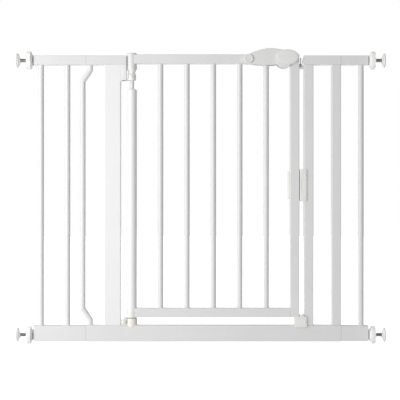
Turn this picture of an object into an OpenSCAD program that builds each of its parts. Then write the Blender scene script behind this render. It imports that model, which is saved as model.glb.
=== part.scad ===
// Pressure-fitted child safety gate: a tube frame with a door on a rising hinge,
// one extension on each side and a threaded wall cup with a hand wheel at each corner.
// Millimetres. X runs across the doorway, Y front to back (the front is -Y), Z up.
// The origin is the bottom centre of the whole gate, under the lower hand wheels.

/* [Frame] */
// Height of the frame, from the underside of the bottom rail to the top of the top rail
frame_h = 770; // [640:1:930]
// Side of the square tube in the top rails, the narrow posts and the door
tube_w = 25; // [22:0.5:30]
// Wall of the rails, the posts and the hinge tube
tube_wall = 1.2; // [0.8:0.1:2]
// Corner radius of the rails and the posts
tube_corner = 2.2; // [0.5:0.1:4]
// Height of the bottom rail
bottom_rail_h = 44; // [38:1:55]
// Width of the wide post that carries the door
hinge_post_w = 44.5; // [30:0.5:60]
// Length of rail outside the wide post
left_stub_w = 49; // [45:1:80]
// Clear space between the latch post and the end post
end_gap = 49; // [20:1:80]

/* [Bars] */
// Diameter of the round bars
bar_d = 15; // [8:0.5:18]
// Wall of the round bars
bar_wall = 1; // [0.6:0.1:2]
// Clear space between two bars of the door
bar_gap = 56.3; // [40:0.1:75]
// Sideways jog at both ends of the bent bar
bent_jog = 20; // [5:1:26]
// Height over which the bent bar jogs
bent_rise = 30; // [15:1:60]

/* [Door] */
// Space between the bottom rail and the door
door_gap = 21; // [19:0.5:40]
// How far the door stands above the top rails
door_step = 3; // [0:0.5:10]
// Space between the latch post and the door
latch_gap = 13; // [11:0.5:20]

/* [Hinge] */
// Diameter of the hinge tube and the top knuckle
hinge_tube_d = 27; // [24:0.5:34]
// Space between the wide post and the hinge tube
hinge_gap = 16; // [16:0.5:40]
// Diameter of the spindle
spindle_d = 12; // [8:0.5:14]
// Radial running clearance round the spindle and the pins
running = 0.05; // [0.01:0.01:0.1]
// Radius of the two hinge cams
cam_r = 11; // [10:0.5:12]
// Half the height of the cams' slanted face
cam_rise = 7; // [4:0.5:8]
// Upright space between the cams while the door is shut
cam_space = 0.9; // [0.6:0.1:2]

/* [Extensions] */
// Width of the left extension
left_ext_w = 140; // [120:1:280]
// Width of the right extension
right_ext_w = 73; // [66:1:280]
// Distance from an extension's outer end to its first bar
ext_bar_inset = 18; // [10:1:40]
// How much lower than the main bottom rail an extension's bottom rail is
ext_rail_drop = 2; // [1:0.5:6]

/* [Wall fixings] */
// Diameter of the hand wheels
wheel_d = 48.5; // [44:0.5:70]
// Width of a hand wheel's rim
wheel_rim_w = 11.5; // [8:0.5:20]
// Width of a hand wheel's cone
wheel_cone_w = 5; // [3:0.5:8]
// Diameter of the threaded rods
rod_d = 10; // [8:0.5:12]
// Length of bare rod between a hand wheel and its wall cup
rod_bare = 17.5; // [14:0.1:40]
// Length of rod inside a rail
rod_inside = 58; // [30:1:59]
// Diameter of a wall cup
cup_d = 38; // [26:1:60]
// Depth of a wall cup
cup_t = 9.5; // [9.5:0.5:20]
// Height of the lower rods above the underside of the bottom rail
screw_h = 17.25; // [14:0.25:20]

/* [Handle] */
// Distance from the lever's pin to the latch's cross pin
lever_arm = 120.2; // [100:0.1:140]
// Thickness of the lever's walls
lever_wall = 2.5; // [1.5:0.1:4]
// Half width of the latch housing's oval, along the rail
oval_a = 35; // [30:0.5:38]
// Half height of the latch housing's oval
oval_b = 22; // [22:0.5:26]
// Thickness of each half of the latch housing
shell_t = 7.8; // [6.5:0.1:10]
// Travel of the thumb slide
thumb_travel = 8; // [4:0.5:10]

/* [Hidden] */
$fn = 48;
door_bars = 5;

// Clearances
touch = 0.1;      // between pieces that are pushed together by hand
moving = 0.4;     // between faces that slide or turn past each other
part_gap = 1;     // between the door and the frame's fittings
cut = 1;          // how far a cutter runs past the face it cuts

// Heights
half = tube_w / 2;
rail_z0 = wheel_d / 2 - screw_h;
rail_z1 = rail_z0 + bottom_rail_h;
top_z1 = rail_z0 + frame_h;
top_z0 = top_z1 - tube_w;
door_top_z1 = top_z1 + door_step;
door_top_z0 = door_top_z1 - tube_w;
door_top_mid = door_top_z1 - half;
door_low_z0 = rail_z1 + door_gap;
door_low_z1 = door_low_z0 + tube_w;

// Places across the gate, from left to right
hinge_tube_r = hinge_tube_d / 2;
door_span = hinge_tube_d + (door_bars + 1) * bar_gap + door_bars * bar_d + tube_w;
main_w = left_stub_w + hinge_post_w + hinge_gap + door_span + latch_gap
    + tube_w + end_gap + tube_w;
rail_span = left_ext_w + main_w + right_ext_w;
x_left = -rail_span / 2;
x_right = rail_span / 2;
x_main0 = x_left + left_ext_w;
x_main1 = x_main0 + main_w;
x_post0 = x_main0 + left_stub_w;
x_post1 = x_post0 + hinge_post_w;
x_hinge = x_post1 + hinge_gap + hinge_tube_r;
x_stile1 = x_post1 + hinge_gap + door_span;
x_stile0 = x_stile1 - tube_w;
x_latch0 = x_stile1 + latch_gap;
x_latch1 = x_latch0 + tube_w;
x_end0 = x_latch1 + end_gap;
function x_door_bar(i) = x_hinge + hinge_tube_r + i * bar_gap + (i - 0.5) * bar_d;

// Wall fixings
plug_flange = 3;
plug_depth = 16;
rod_r = rod_d / 2;
wheel_r = wheel_d / 2;
wheel_x = plug_flange + moving;              // start of a wheel, from the rail's end
cup_x = wheel_x + wheel_cone_w + wheel_rim_w + rod_bare;
cup_socket = 7;                              // how deep a rod sits in its cup
top_screw_z = top_z0 + half;
low_screw_z = rail_z0 + screw_h;
ext_rail_z0 = rail_z0 + ext_rail_drop / 2;
ext_rail_h = bottom_rail_h - ext_rail_drop;
joiner_len = 30;

// Hinge
spindle_r = spindle_d / 2;
knuckle_over = 4.5;                           // knuckle above the door's top rail
knuckle_under = 14;                          // knuckle below the door's top rail
knuckle_z0 = door_top_z0 - knuckle_under;
knuckle_z1 = door_top_z1 + knuckle_over;
cam_waist_r = max(7.8, spindle_r + 1.5);
cam_cone_h = 10.5;
cam_flare_h = 3;
cam_z = knuckle_z0 - cam_cone_h - cam_flare_h - 3.5;   // middle of the slanted face
cam_slant = atan(cam_rise / cam_r);
arm_t = 6;
arm_z1 = cam_z - cam_rise - 1;
arm_z0 = arm_z1 - arm_t;
bracket_x1 = x_hinge - hinge_tube_r - part_gap;
tube_z1 = arm_z0 - 34;                       // top of the straight hinge tube
tube_cap_h = 11;
collar_z0 = door_low_z0 - part_gap;
collar_z1 = door_low_z0 + 16;
collar_r = hinge_tube_r + 1.3;
socket_r = hinge_tube_r + 1.5;
socket_z1 = collar_z0 - 2;
socket_lip = 5;                              // how far the socket reaches over the rail
socket_floor = 2;
spindle_z0 = rail_z1 + socket_floor + 0.2;
spindle_z1 = door_top_mid - 3;

// Handle and latch
pin_r = 4;
cross_pin_r = 2;
cross_x = x_stile0 + 8.7;
lever_x = cross_x - lever_arm;
lever_z = door_top_mid;
cross_z = door_top_mid - 8;
lever_y0 = half + moving;                    // inner face of the lever's walls
lever_y1 = lever_y0 + lever_wall;
lens_x = lever_x + 61.2;                     // where the lever stands highest
lens_top = door_top_z1 + 16;
lens_low = door_top_z0 - 4;
lens_r = 126.4;
lens_low_r = 237;
lens_low_x = lens_x - 12;                    // where it hangs lowest
lens_end = lens_x + 32;
boss_r = 12.5;
oval_x = x_stile0 - 5.3;
oval_z = door_top_mid + 3;
oval_end = x_stile1 - 1.3;
bulge_x = oval_x - 11;
bulge_z = oval_z - 8;
bulge_a = 21;
bulge_b = 19;
shell_wall = 2.5;
shell_y0 = lever_y1 + moving;                // inner face of the housing's front
shell_y1 = half + shell_t;
rim_x = lens_end + 6;                        // the housing has a side wall beyond here
housing_screw_at = [[x_stile0 + 5.7, door_top_z1 + 5.5], [rim_x + 1, door_top_z0 - 5.5]];
thumb_len = 24;
thumb_w = 12;
thumb_x = lens_x - 16;
lift_x = x_stile1 - 6;
lift_r = 3.5;
lift_tip_z = rail_z1 + 9;
bolt_z0 = door_top_z0 - 10;
bolt_h = 14;
nose_z0 = bolt_z0 + 2;
nose_h = 8;
nose_w = 8;
nose_x1 = x_latch0 - 4.5;

// Frame fittings
keeper_x0 = x_stile1 + 2.2;
shelf_t = 4;                                 // floor of the keeper's pocket, under the nose
keeper_z0 = nose_z0 - 1 - shelf_t;
keeper_up = 20;                              // how far the keeper runs up the top rail's end
keeper_w = 18;
keeper_t = 2.5;
block_z0 = rail_z0 + 378;
block_h = 86;
block_over = 6.7;                            // how far the block laps onto the post
block_t = 3;
catch_x0 = lift_x - 6.8;
catch_x1 = x_latch0 + 6.7;
catch_z0 = rail_z1 - 5;
catch_top = door_low_z0 - 2 * part_gap;
catch_lip_z1 = door_low_z0 + 3;
catch_y = half + 4;
screw_r = 1.8;
screw_head_r = 3.4;
screw_head_t = 1.6;

// ---- Shared shapes ----------------------------------------------------------------

// A rectangle with round corners, centred
module rounded_rect(w, h, r) {
    square([w - 2 * r, h], center = true);
    square([w, h - 2 * r], center = true);
    for (sx = [-1, 1], sy = [-1, 1])
        translate([sx * (w / 2 - r), sy * (h / 2 - r)]) circle(r);
}

// The wall of a rectangular tube, w by h outside
module tube_section(w, h) {
    difference() {
        rounded_rect(w, h, tube_corner);
        rounded_rect(w - 2 * tube_wall, h - 2 * tube_wall, max(0.2, tube_corner - tube_wall));
    }
}

// A rail along X from x0 to x1, h high, standing on z0
module rail(x0, x1, z0, h) {
    translate([x0, 0, z0 + h / 2]) rotate([90, 0, 90]) linear_extrude(x1 - x0) tube_section(tube_w, h);
}

// A thin plate that closes the end of a rail, from x0 to x1
module rail_end(x0, x1, z0, h) {
    translate([x0, 0, z0 + h / 2]) rotate([90, 0, 90]) linear_extrude(x1 - x0)
        rounded_rect(tube_w, h, tube_corner);
}

// An upright post, w wide, from z0 to z1, with its left side at x0
module post(x0, w, z0, z1) {
    translate([x0 + w / 2, 0, z0]) linear_extrude(z1 - z0) tube_section(w, tube_w);
}

// An upright round tube
module pipe(x, z0, z1, r, wall) {
    translate([x, 0, z0]) difference() {
        cylinder(h = z1 - z0, r = r);
        translate([0, 0, -cut]) cylinder(h = z1 - z0 + 2 * cut, r = r - wall);
    }
}

// A cutter or pin on the hinge axis
module on_hinge(z0, z1, r) {
    translate([x_hinge, 0, z0]) cylinder(h = z1 - z0, r = r);
}

// Bore for the spindle
module spindle_bore(z0, z1) {
    on_hinge(z0, z1, spindle_r + running);
}

// A cylinder along Y
module across(x, z, y0, y1, r) {
    translate([x, y0, z]) rotate([-90, 0, 0]) cylinder(h = y1 - y0, r = r);
}

// Everything above the cams' slanted plane, which is highest towards the wide post
module above_cam_plane(space) {
    translate([x_hinge, 0, cam_z + space]) rotate([0, cam_slant, 0])
        translate([-2 * hinge_tube_d, -hinge_tube_d, 0]) cube([4 * hinge_tube_d, 2 * hinge_tube_d, 60]);
}

// Everything below it
module below_cam_plane(space) {
    translate([x_hinge, 0, cam_z + space]) rotate([0, cam_slant, 0])
        translate([-2 * hinge_tube_d, -hinge_tube_d, -60])
            cube([4 * hinge_tube_d, 2 * hinge_tube_d, 60]);
}

// ---- Frame --------------------------------------------------------------------------

module frame_bottom_rail() {
    color("whitesmoke") rail(x_main0, x_main1, rail_z0, bottom_rail_h);
}

module frame_top_rail_left() {
    color("whitesmoke") {
        rail(x_main0, bracket_x1 - 2, top_z0, tube_w);
        rail_end(bracket_x1 - 2, bracket_x1, top_z0, tube_w);
    }
}

module frame_top_rail_right() {
    color("gainsboro") difference() {
        union() {
            rail(x_latch0 + 2, x_main1, top_z0, tube_w);
            rail_end(x_latch0, x_latch0 + 2, top_z0, tube_w);
        }
        frame_screw_holes();
    }
}

module frame_hinge_post() {
    color("whitesmoke") difference() {
        post(x_post0, hinge_post_w, rail_z1, top_z0);
        frame_screw_holes();
    }
}

module frame_latch_post() {
    color("gainsboro") difference() {
        post(x_latch0, tube_w, rail_z1, top_z0);
        frame_screw_holes();
    }
}

module frame_end_post() {
    color("gainsboro") post(x_end0, tube_w, rail_z1, top_z0);
}

// The bent bar's centre line, from the bottom rail to the top rail
bent_x0 = x_main0 + 10.5;
bent_x1 = bent_x0 - bent_jog;
bent_lead = 14;
bent_path = [
    [bent_x0, rail_z1], [bent_x0, rail_z1 + bent_lead],
    [bent_x1, rail_z1 + bent_lead + bent_rise],
    [bent_x1, top_z0 - bent_lead - bent_rise],
    [bent_x0, top_z0 - bent_lead], [bent_x0, top_z0]
];

// A round rod of radius r along the bent bar's centre line
module bent_rod(r, ends) {
    for (i = [0:len(bent_path) - 2]) {
        a = bent_path[i];
        b = bent_path[i + 1];
        dx = b[0] - a[0];
        dz = b[1] - a[1];
        long = sqrt(dx * dx + dz * dz);
        first = i == 0 ? ends : 0;
        last = i == len(bent_path) - 2 ? ends : 0;
        translate([a[0], 0, a[1]]) rotate([0, atan2(dx, dz), 0])
            translate([0, 0, -first]) cylinder(h = long + first + last, r = r);
    }
    for (i = [1:len(bent_path) - 2]) translate([bent_path[i][0], 0, bent_path[i][1]]) sphere(r);
}

module frame_bent_bar() {
    color("whitesmoke") difference() {
        bent_rod(bar_d / 2, 0);
        bent_rod(bar_d / 2 - bar_wall, cut);
    }
}

// ---- Extensions ---------------------------------------------------------------------

module left_ext_top_rail() {
    color("whitesmoke") rail(x_left, x_main0, top_z0, tube_w);
}

module left_ext_bottom_rail() {
    color("whitesmoke") rail(x_left, x_main0, ext_rail_z0, ext_rail_h);
}

module left_ext_bars() {
    color("whitesmoke") for (i = [0, 1])
        pipe(x_left + ext_bar_inset + i * (bar_gap + bar_d), ext_rail_z0 + ext_rail_h, top_z0,
            bar_d / 2, bar_wall);
}

module right_ext_top_rail() {
    color("lightgray") rail(x_main1, x_right, top_z0, tube_w);
}

module right_ext_bottom_rail() {
    color("lightgray") rail(x_main1, x_right, ext_rail_z0, ext_rail_h);
}

module right_ext_bar() {
    color("lightgray")
        pipe(x_right - ext_bar_inset, ext_rail_z0 + ext_rail_h, top_z0, bar_d / 2, bar_wall);
}

// A sleeve inside two rails that meet at x
module joiner(x, z0, h) {
    w = tube_w - 2 * tube_wall - 2 * touch;
    high = h - 2 * tube_wall - 2 * touch;
    wall = 2;
    translate([x - joiner_len, 0, z0 + h / 2]) rotate([90, 0, 90])
        linear_extrude(2 * joiner_len) difference() {
            rounded_rect(w, high, 1);
            square([w - 2 * wall, high - 2 * wall], center = true);
        }
}

module extension_joiners() {
    color("silver") for (x = [x_main0, x_main1]) {
        joiner(x, top_z0, tube_w);
        joiner(x, ext_rail_z0, ext_rail_h);
    }
}

// The plug in a rail's outer end: side is -1 on the left and 1 on the right
module end_plug(side, z0, h, screw_z) {
    end_x = side * x_right;
    difference() {
        union() {
            translate([end_x, 0, z0 + h / 2]) rotate([90, 0, side * 90])
                linear_extrude(plug_flange) rounded_rect(tube_w, h, tube_corner);
            translate([end_x, 0, z0 + h / 2]) rotate([90, 0, side * 90])
                translate([0, 0, -plug_depth]) linear_extrude(plug_depth)
                    rounded_rect(tube_w - 2 * tube_wall - 2 * touch, h - 2 * tube_wall - 2 * touch, 1);
        }
        translate([end_x, 0, screw_z]) rotate([0, side * 90, 0])
            translate([0, 0, -plug_depth - cut])
                cylinder(h = plug_depth + plug_flange + 2 * cut, r = rod_r + running);
    }
}

module rail_end_plugs() {
    color("white") for (side = [-1, 1]) {
        end_plug(side, top_z0, tube_w, top_screw_z);
        end_plug(side, ext_rail_z0, ext_rail_h, low_screw_z);
    }
}

// ---- Hinge, frame side ----------------------------------------------------------------

lower_boss_x = x_post1 + 9;
lower_boss_z = rail_z1 + 10;
lower_boss_y = -half - 1.5;

// Plate and arm that hold the top of the spindle
module hinge_upper_bracket() {
    back = 8;                 // half depth of the arm
    color("whitesmoke") difference() {
        union() {
            translate([x_post1, -half, arm_z1]) cube([bracket_x1 - x_post1, tube_w, top_z0 - arm_z1]);
            translate([x_post1, -back, arm_z0]) cube([x_hinge - x_post1, 2 * back, arm_t]);
            on_hinge(arm_z0, arm_z1, cam_r);
        }
        spindle_bore(arm_z0 - cut, arm_z1 + cut);
        on_hinge(arm_z1, knuckle_z1, hinge_tube_r + part_gap);
    }
}

// Ring with a slanted top that the door's cam climbs
module hinge_fixed_cam() {
    color("white") difference() {
        on_hinge(arm_z1, cam_z + cam_rise + cut, cam_r);
        above_cam_plane(0);
        spindle_bore(arm_z1 - cut, cam_z + 2 * cam_rise);
    }
}

// Strap that ties the lower socket to the wide post
module hinge_lower_bracket() {
    high = socket_z1 + 3 - rail_z1;
    back = 10;                // half depth of the strap
    boss_r = 7;
    color("whitesmoke") difference() {
        union() {
            translate([x_post1, -back, rail_z1])
                cube([x_hinge - collar_r - part_gap - x_post1, 2 * back, high]);
            across(lower_boss_x, lower_boss_z, lower_boss_y, -back, boss_r);
        }
        on_hinge(rail_z1 - cut, socket_z1, socket_r);
        frame_screw_holes();
    }
}

// Round socket that sits over the bottom rail and carries the foot of the spindle
module hinge_lower_socket() {
    color("ivory") difference() {
        on_hinge(rail_z1 - socket_lip, socket_z1, socket_r);
        rail_end(x_main0, x_main1, rail_z0, bottom_rail_h);
        spindle_bore(rail_z1 + socket_floor, socket_z1 + cut);
    }
}

// ---- Latch fittings on the frame --------------------------------------------------------

// Bent strip on the latch post with a pocket for the nose of the bolt
module top_keeper() {
    lip_h = 5.5;              // height of the pocket's sides above its shelf
    color("whitesmoke") difference() {
        union() {
            translate([x_latch0 - keeper_t, -keeper_w / 2, keeper_z0])
                cube([keeper_t, keeper_w, top_z0 + keeper_up - keeper_z0]);
            translate([keeper_x0, -keeper_w / 2, keeper_z0])
                cube([x_latch0 - keeper_t - keeper_x0, keeper_w, shelf_t]);
            for (y = [-keeper_w / 2, keeper_w / 2 - keeper_t])
                translate([keeper_x0, y, keeper_z0 + shelf_t])
                    cube([x_latch0 - keeper_t - keeper_x0, keeper_t, lip_h]);
        }
        frame_screw_holes();
    }
}

// Clip on the latch post that steadies the middle of the door
module mid_stop_block() {
    x0 = x_stile1 + 1.5;
    y1 = half + block_t;
    color("white") difference() {
        translate([(x0 + x_latch0 + block_over) / 2, 0, block_z0]) linear_extrude(block_h)
            rounded_rect(x_latch0 + block_over - x0, 2 * y1, 1.5);
        translate([x_latch0, 0, block_z0 - cut]) linear_extrude(block_h + 2 * cut)
            translate([tube_w / 2, 0]) rounded_rect(tube_w, tube_w, tube_corner);
        frame_screw_holes();
    }
}

// Catch that straddles the bottom rail beside the latch post and takes the foot of the lift rod
module bottom_catch() {
    gap_x0 = x_stile1 + 1.3;
    gap_x1 = x_latch0 - 0.3;
    mid = (gap_x0 + gap_x1) / 2;
    horn_z = catch_lip_z1 + 5;
    color("white") difference() {
        union() {
            translate([catch_x0, -catch_y, catch_z0])
                cube([catch_x1 - catch_x0, catch_y + half, catch_top - catch_z0]);
            translate([catch_x0, -catch_y, catch_top])
                cube([catch_x1 - catch_x0, catch_y - half - moving, catch_lip_z1 - catch_top]);
            translate([0, half, 0]) rotate([90, 0, 0]) linear_extrude(catch_y + half)
                polygon([[gap_x0, catch_top - 1], [gap_x0, horn_z], [mid, catch_lip_z1 + 0.5],
                    [gap_x1, horn_z], [gap_x1, catch_top - 1]]);
        }
        rail_end(x_main0, x_main1, rail_z0, bottom_rail_h);
        translate([x_latch0, -half, rail_z1 - cut]) cube([tube_w, 2 * tube_w, frame_h]);
        translate([lift_x, 0, lift_tip_z - 1]) cylinder(h = bottom_rail_h, r = lift_r + moving);
        frame_screw_holes();
    }
}

// Screws of the frame: [place, turn]. The head's inner face is at the place.
screw_inset = 3.4;                           // from the latch post's left side to a screw
block_screw_inset = 18;                      // from the ends of the mid stop block to its screws
frame_screws_at = [
    [[x_latch0 + screw_inset, -half - block_t, block_z0 + block_screw_inset], [-90, 0, 0]],
    [[x_latch0 + screw_inset, -half - block_t, block_z0 + block_h - block_screw_inset], [-90, 0, 0]],
    [[x_latch0 - keeper_t, 0, top_z0 + keeper_up / 2], [0, 90, 0]],
    [[x_latch0 + screw_inset, -catch_y, (rail_z1 + catch_top) / 2], [-90, 0, 0]],
    [[lower_boss_x, lower_boss_y, lower_boss_z], [-90, 0, 0]]
];
screw_len = 9;

module screw(grow) {
    cylinder(h = screw_len + grow, r = screw_r + grow);
    translate([0, 0, -screw_head_t]) cylinder(h = screw_head_t, r = screw_head_r);
}

module frame_screw_holes() {
    for (s = frame_screws_at) translate(s[0]) rotate(s[1])
        cylinder(h = screw_len + touch, r = screw_r + touch / 2);
}

module frame_screws() {
    color("silver") for (s = frame_screws_at) translate(s[0]) rotate(s[1]) screw(0);
}

// ---- Hinge, moving side ---------------------------------------------------------------

module hinge_spindle() {
    color("gainsboro") on_hinge(spindle_z0, spindle_z1, spindle_r);
}

// Domed sleeve at the top of the door's hinge side
module door_top_knuckle() {
    dome = 3;
    color("whitesmoke") difference() {
        translate([x_hinge, 0, 0]) rotate_extrude() union() {
            translate([0, knuckle_z0]) square([hinge_tube_r, knuckle_z1 - dome - knuckle_z0]);
            translate([0, knuckle_z0]) square([hinge_tube_r - dome, knuckle_z1 - knuckle_z0]);
            translate([hinge_tube_r - dome, knuckle_z1 - dome]) circle(dome);
        }
        spindle_bore(knuckle_z0 - cut, spindle_z1 + 2);
    }
}

// Cone and slanted ring that climb the fixed cam as the door turns
module door_cam() {
    waist_z = knuckle_z0 - cam_cone_h;
    flare_z = waist_z - cam_flare_h;
    low = cam_z - cam_rise;
    bore = spindle_r + running;
    color("white") difference() {
        translate([x_hinge, 0, 0]) rotate_extrude()
            polygon([[bore, low], [cam_r, low], [cam_r, flare_z], [cam_waist_r, waist_z],
                [hinge_tube_r - 0.3, knuckle_z0 - 1], [hinge_tube_r - 0.3, knuckle_z0],
                [bore, knuckle_z0]]);
        below_cam_plane(cam_space);
    }
}

module door_hinge_tube() {
    color("whitesmoke") pipe(x_hinge, collar_z1, tube_z1, hinge_tube_r, tube_wall);
}

// Rounded shoulder that closes the top of the hinge tube
module hinge_tube_cap() {
    neck = spindle_r + 2.5;
    round_r = hinge_tube_r - neck;
    plug = 12;
    color("whitesmoke") difference() {
        translate([x_hinge, 0, 0]) rotate_extrude() union() {
            translate([0, tube_z1]) square([neck, tube_cap_h]);
            translate([0, tube_z1]) square([hinge_tube_r, tube_cap_h - round_r]);
            intersection() {
                translate([neck, tube_z1 + tube_cap_h - round_r]) circle(round_r);
                translate([0, tube_z1]) square([hinge_tube_r, tube_cap_h]);
            }
            translate([0, tube_z1 - plug]) square([hinge_tube_r - tube_wall - touch, plug]);
        }
        spindle_bore(tube_z1 - plug - cut, tube_z1 + tube_cap_h + cut);
    }
}

// Collar at the foot of the hinge tube
module hinge_tube_collar() {
    plug = 12;
    color("white") difference() {
        union() {
            on_hinge(collar_z0, collar_z1, collar_r);
            on_hinge(collar_z1, collar_z1 + plug, hinge_tube_r - tube_wall - touch);
        }
        spindle_bore(collar_z0 - cut, collar_z1 + plug + cut);
    }
}

// ---- Door -------------------------------------------------------------------------------

module door_top_rail() {
    color("whitesmoke") difference() {
        rail(x_hinge, x_stile0, door_top_z0, tube_w);
        on_hinge(door_top_z0 - cut, door_top_z1 + cut, hinge_tube_r);
        across(lever_x, lever_z, -tube_w, tube_w, pin_r + running);
    }
}

module door_bottom_rail() {
    color("whitesmoke") difference() {
        rail(x_hinge, x_stile0, door_low_z0, tube_w);
        on_hinge(door_low_z0 - cut, collar_z1, collar_r);
        on_hinge(door_low_z0 - cut, door_low_z1 + cut, hinge_tube_r);
    }
}

// Hollow upright at the latch side, slotted for the bolt's nose and cross pin
module door_latch_stile() {
    foot_t = 6;
    rise = 17;                // how far the slots let the bolt and its pin rise
    pin_slot = cross_pin_r + 1;
    color("gainsboro") difference() {
        union() {
            post(x_stile0, tube_w, door_low_z0, door_top_z1);
            translate([x_stile0 + half, 0, door_top_z1 - tube_wall]) linear_extrude(tube_wall)
                rounded_rect(tube_w, tube_w, tube_corner);
            translate([x_stile0 + half, 0, door_low_z0]) linear_extrude(foot_t)
                rounded_rect(tube_w - tube_wall, tube_w - tube_wall, tube_corner - tube_wall / 2);
        }
        translate([lift_x, 0, door_low_z0 - cut]) cylinder(h = foot_t + 2 * cut, r = lift_r + running);
        translate([x_stile1 - tube_wall - cut, -nose_w / 2 - moving, nose_z0 - moving])
            cube([tube_wall + 2 * cut, nose_w + 2 * moving, nose_h + rise]);
        translate([cross_x - pin_slot, -tube_w, cross_z - cross_pin_r - moving])
            cube([2 * pin_slot, 2 * tube_w, 2 * cross_pin_r + rise - 1]);
    }
}

module door_bar(i) {
    color("whitesmoke") pipe(x_door_bar(i), door_low_z1, door_top_z0, bar_d / 2, bar_wall);
}

// Plastic clip on the latch side upright that faces the mid stop block
module stile_stop_clip() {
    side_w = 5;
    end_gap = 5;              // how much shorter it is than the block, at each end
    set_back = 3;             // behind the stile's front face
    color("white") difference() {
        translate([x_stile0 - side_w, -half + set_back, block_z0 + end_gap])
            cube([side_w + tube_w, tube_w - set_back + block_t, block_h - 2 * end_gap]);
        translate([x_stile0 + half, 0, block_z0]) linear_extrude(block_h)
            rounded_rect(tube_w, tube_w, tube_corner);
        translate([x_stile0 + half, -tube_w, block_z0]) cube([tube_w, tube_w + half, block_h]);
    }
}

// ---- Handle and latch ---------------------------------------------------------------------

module lever_pin() {
    color("silver") across(lever_x, lever_z, -shell_y0 - 1, shell_y0 + 1, pin_r);
}

// Round covers over both ends of the lever's pin
module lever_pin_covers() {
    cover_t = 3.6;
    color("white") for (side = [0, 180]) translate([lever_x, 0, lever_z]) rotate([90, 0, side])
        difference() {
            translate([0, 0, shell_y0]) cylinder(h = cover_t, r = boss_r);
            cylinder(h = shell_y0 + 1, r = pin_r);
        }
}

// The lever's outline seen from the front: two long arcs with a round end at the pin
module lever_outline() {
    intersection() {
        translate([lens_x, lens_top - lens_r]) circle(lens_r, $fn = 180);
        translate([lens_low_x, lens_low + lens_low_r]) circle(lens_low_r, $fn = 180);
        translate([lever_x, lens_low - cut]) square([lens_end - lever_x, lens_top - lens_low + 2 * cut]);
    }
    translate([lever_x, lever_z]) circle(boss_r);
}

// Channel that straddles the door's top rail, turns on the pin and lifts the bolt
module lift_lever() {
    tip_h = 7.6;              // height of the two tips that carry the bolt's cross pin
    tip_x = cross_x + 5;
    pin_slot = cross_pin_r + 1.2;
    color("white") difference() {
        union() {
            translate([0, lever_y1, 0]) rotate([90, 0, 0]) linear_extrude(2 * lever_y1) lever_outline();
            for (y = [-lever_y1, lever_y0])
                translate([lens_end - 1, y, cross_z - tip_h / 2])
                    cube([tip_x - lens_end + 1, lever_wall, tip_h]);
        }
        difference() {
            translate([lever_x - boss_r - cut, -lever_y0, lens_low - cut])
                cube([lens_end + boss_r + 2 * cut - lever_x, 2 * lever_y0, frame_h]);
            translate([0, lever_y1, 0]) rotate([90, 0, 0]) linear_extrude(2 * lever_y1) difference() {
                translate([lens_x, lens_top - lens_r]) circle(lens_r, $fn = 180);
                translate([lens_x, lens_top - lens_r]) circle(lens_r - lever_wall, $fn = 180);
                translate([lever_x - lens_r, lens_low - lens_r])
                    square([2 * lens_r, door_top_z1 + moving - lens_low + lens_r]);
            }
        }
        across(lever_x, lever_z, -tube_w, tube_w, pin_r + running);
        translate([cross_x - pin_slot, -tube_w, cross_z - cross_pin_r - moving])
            cube([2 * pin_slot, 2 * tube_w, 2 * (cross_pin_r + moving)]);
        translate([thumb_x - thumb_travel - 1, -thumb_w / 2 - moving, lens_top - 12])
            cube([thumb_len + thumb_travel + 2, thumb_w + 2 * moving, 20]);
    }
}

// Button in the top of the lever, pulled towards the hinge before the lever is lifted
module thumb_slide() {
    foot_z = lens_top - lever_wall - 5.7;    // under the lever's top wall
    foot_t = 2;
    foot_out = 2.5;                          // how far the foot reaches beyond the slot
    top = lens_top + 1.2;
    ribs = 5;
    rib_pitch = 4;
    color("white") {
        translate([thumb_x, -thumb_w / 2, foot_z]) cube([thumb_len, thumb_w, top - foot_z]);
        translate([thumb_x, -thumb_w / 2 - foot_out, foot_z])
            cube([thumb_len, thumb_w + 2 * foot_out, foot_t]);
        for (i = [1:ribs]) translate([thumb_x + i * rib_pitch, -thumb_w / 2 + 1, top])
            cube([1.4, thumb_w - 2, 0.8]);
    }
}

// The housing's outline: an oval with a smaller one low on its left, cut off at the stile's edge
module housing_outline(inset) {
    intersection() {
        union() {
            translate([oval_x, oval_z]) scale([oval_a - inset, oval_b - inset]) circle(1, $fn = 72);
            translate([bulge_x, bulge_z]) scale([bulge_a - inset, bulge_b - inset]) circle(1, $fn = 60);
        }
        translate([oval_x - 2 * oval_a, oval_z - 2 * oval_b])
            square([oval_end - inset - oval_x + 2 * oval_a, 4 * oval_b]);
    }
}

// One half of the latch housing, drawn as the half at +Y, with its screw holes ending at hole_y1
module housing_half(hole_y1) {
    difference() {
        union() {
            difference() {
                translate([0, shell_y1, 0]) rotate([90, 0, 0]) linear_extrude(shell_y1 - half)
                    housing_outline(0);
                translate([0, shell_y0, 0]) rotate([90, 0, 0]) linear_extrude(shell_y0 - half + cut)
                    housing_outline(shell_wall);
                translate([oval_x - 2 * oval_a, 0, lens_low - tube_w])
                    cube([rim_x - oval_x + 2 * oval_a, shell_y0, frame_h]);
            }
            for (p = housing_screw_at) across(p[0], p[1], touch / 2, shell_y0 + 1, 4.2);
        }
        for (p = housing_screw_at) across(p[0], p[1], -cut, hole_y1, screw_r + touch);
    }
}

module latch_housing_front() {
    color("white") mirror([0, 1, 0]) housing_half(shell_y0 + touch);
}

module latch_housing_rear() {
    color("white") housing_half(shell_y1 + cut);
}

// Screws that go in from the back and hold the two halves of the housing together
module housing_screws() {
    color("silver") for (p = housing_screw_at) {
        across(p[0], p[1], -shell_y0, shell_y1, screw_r);
        across(p[0], p[1], shell_y1, shell_y1 + screw_head_t, screw_head_r);
    }
}

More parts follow.
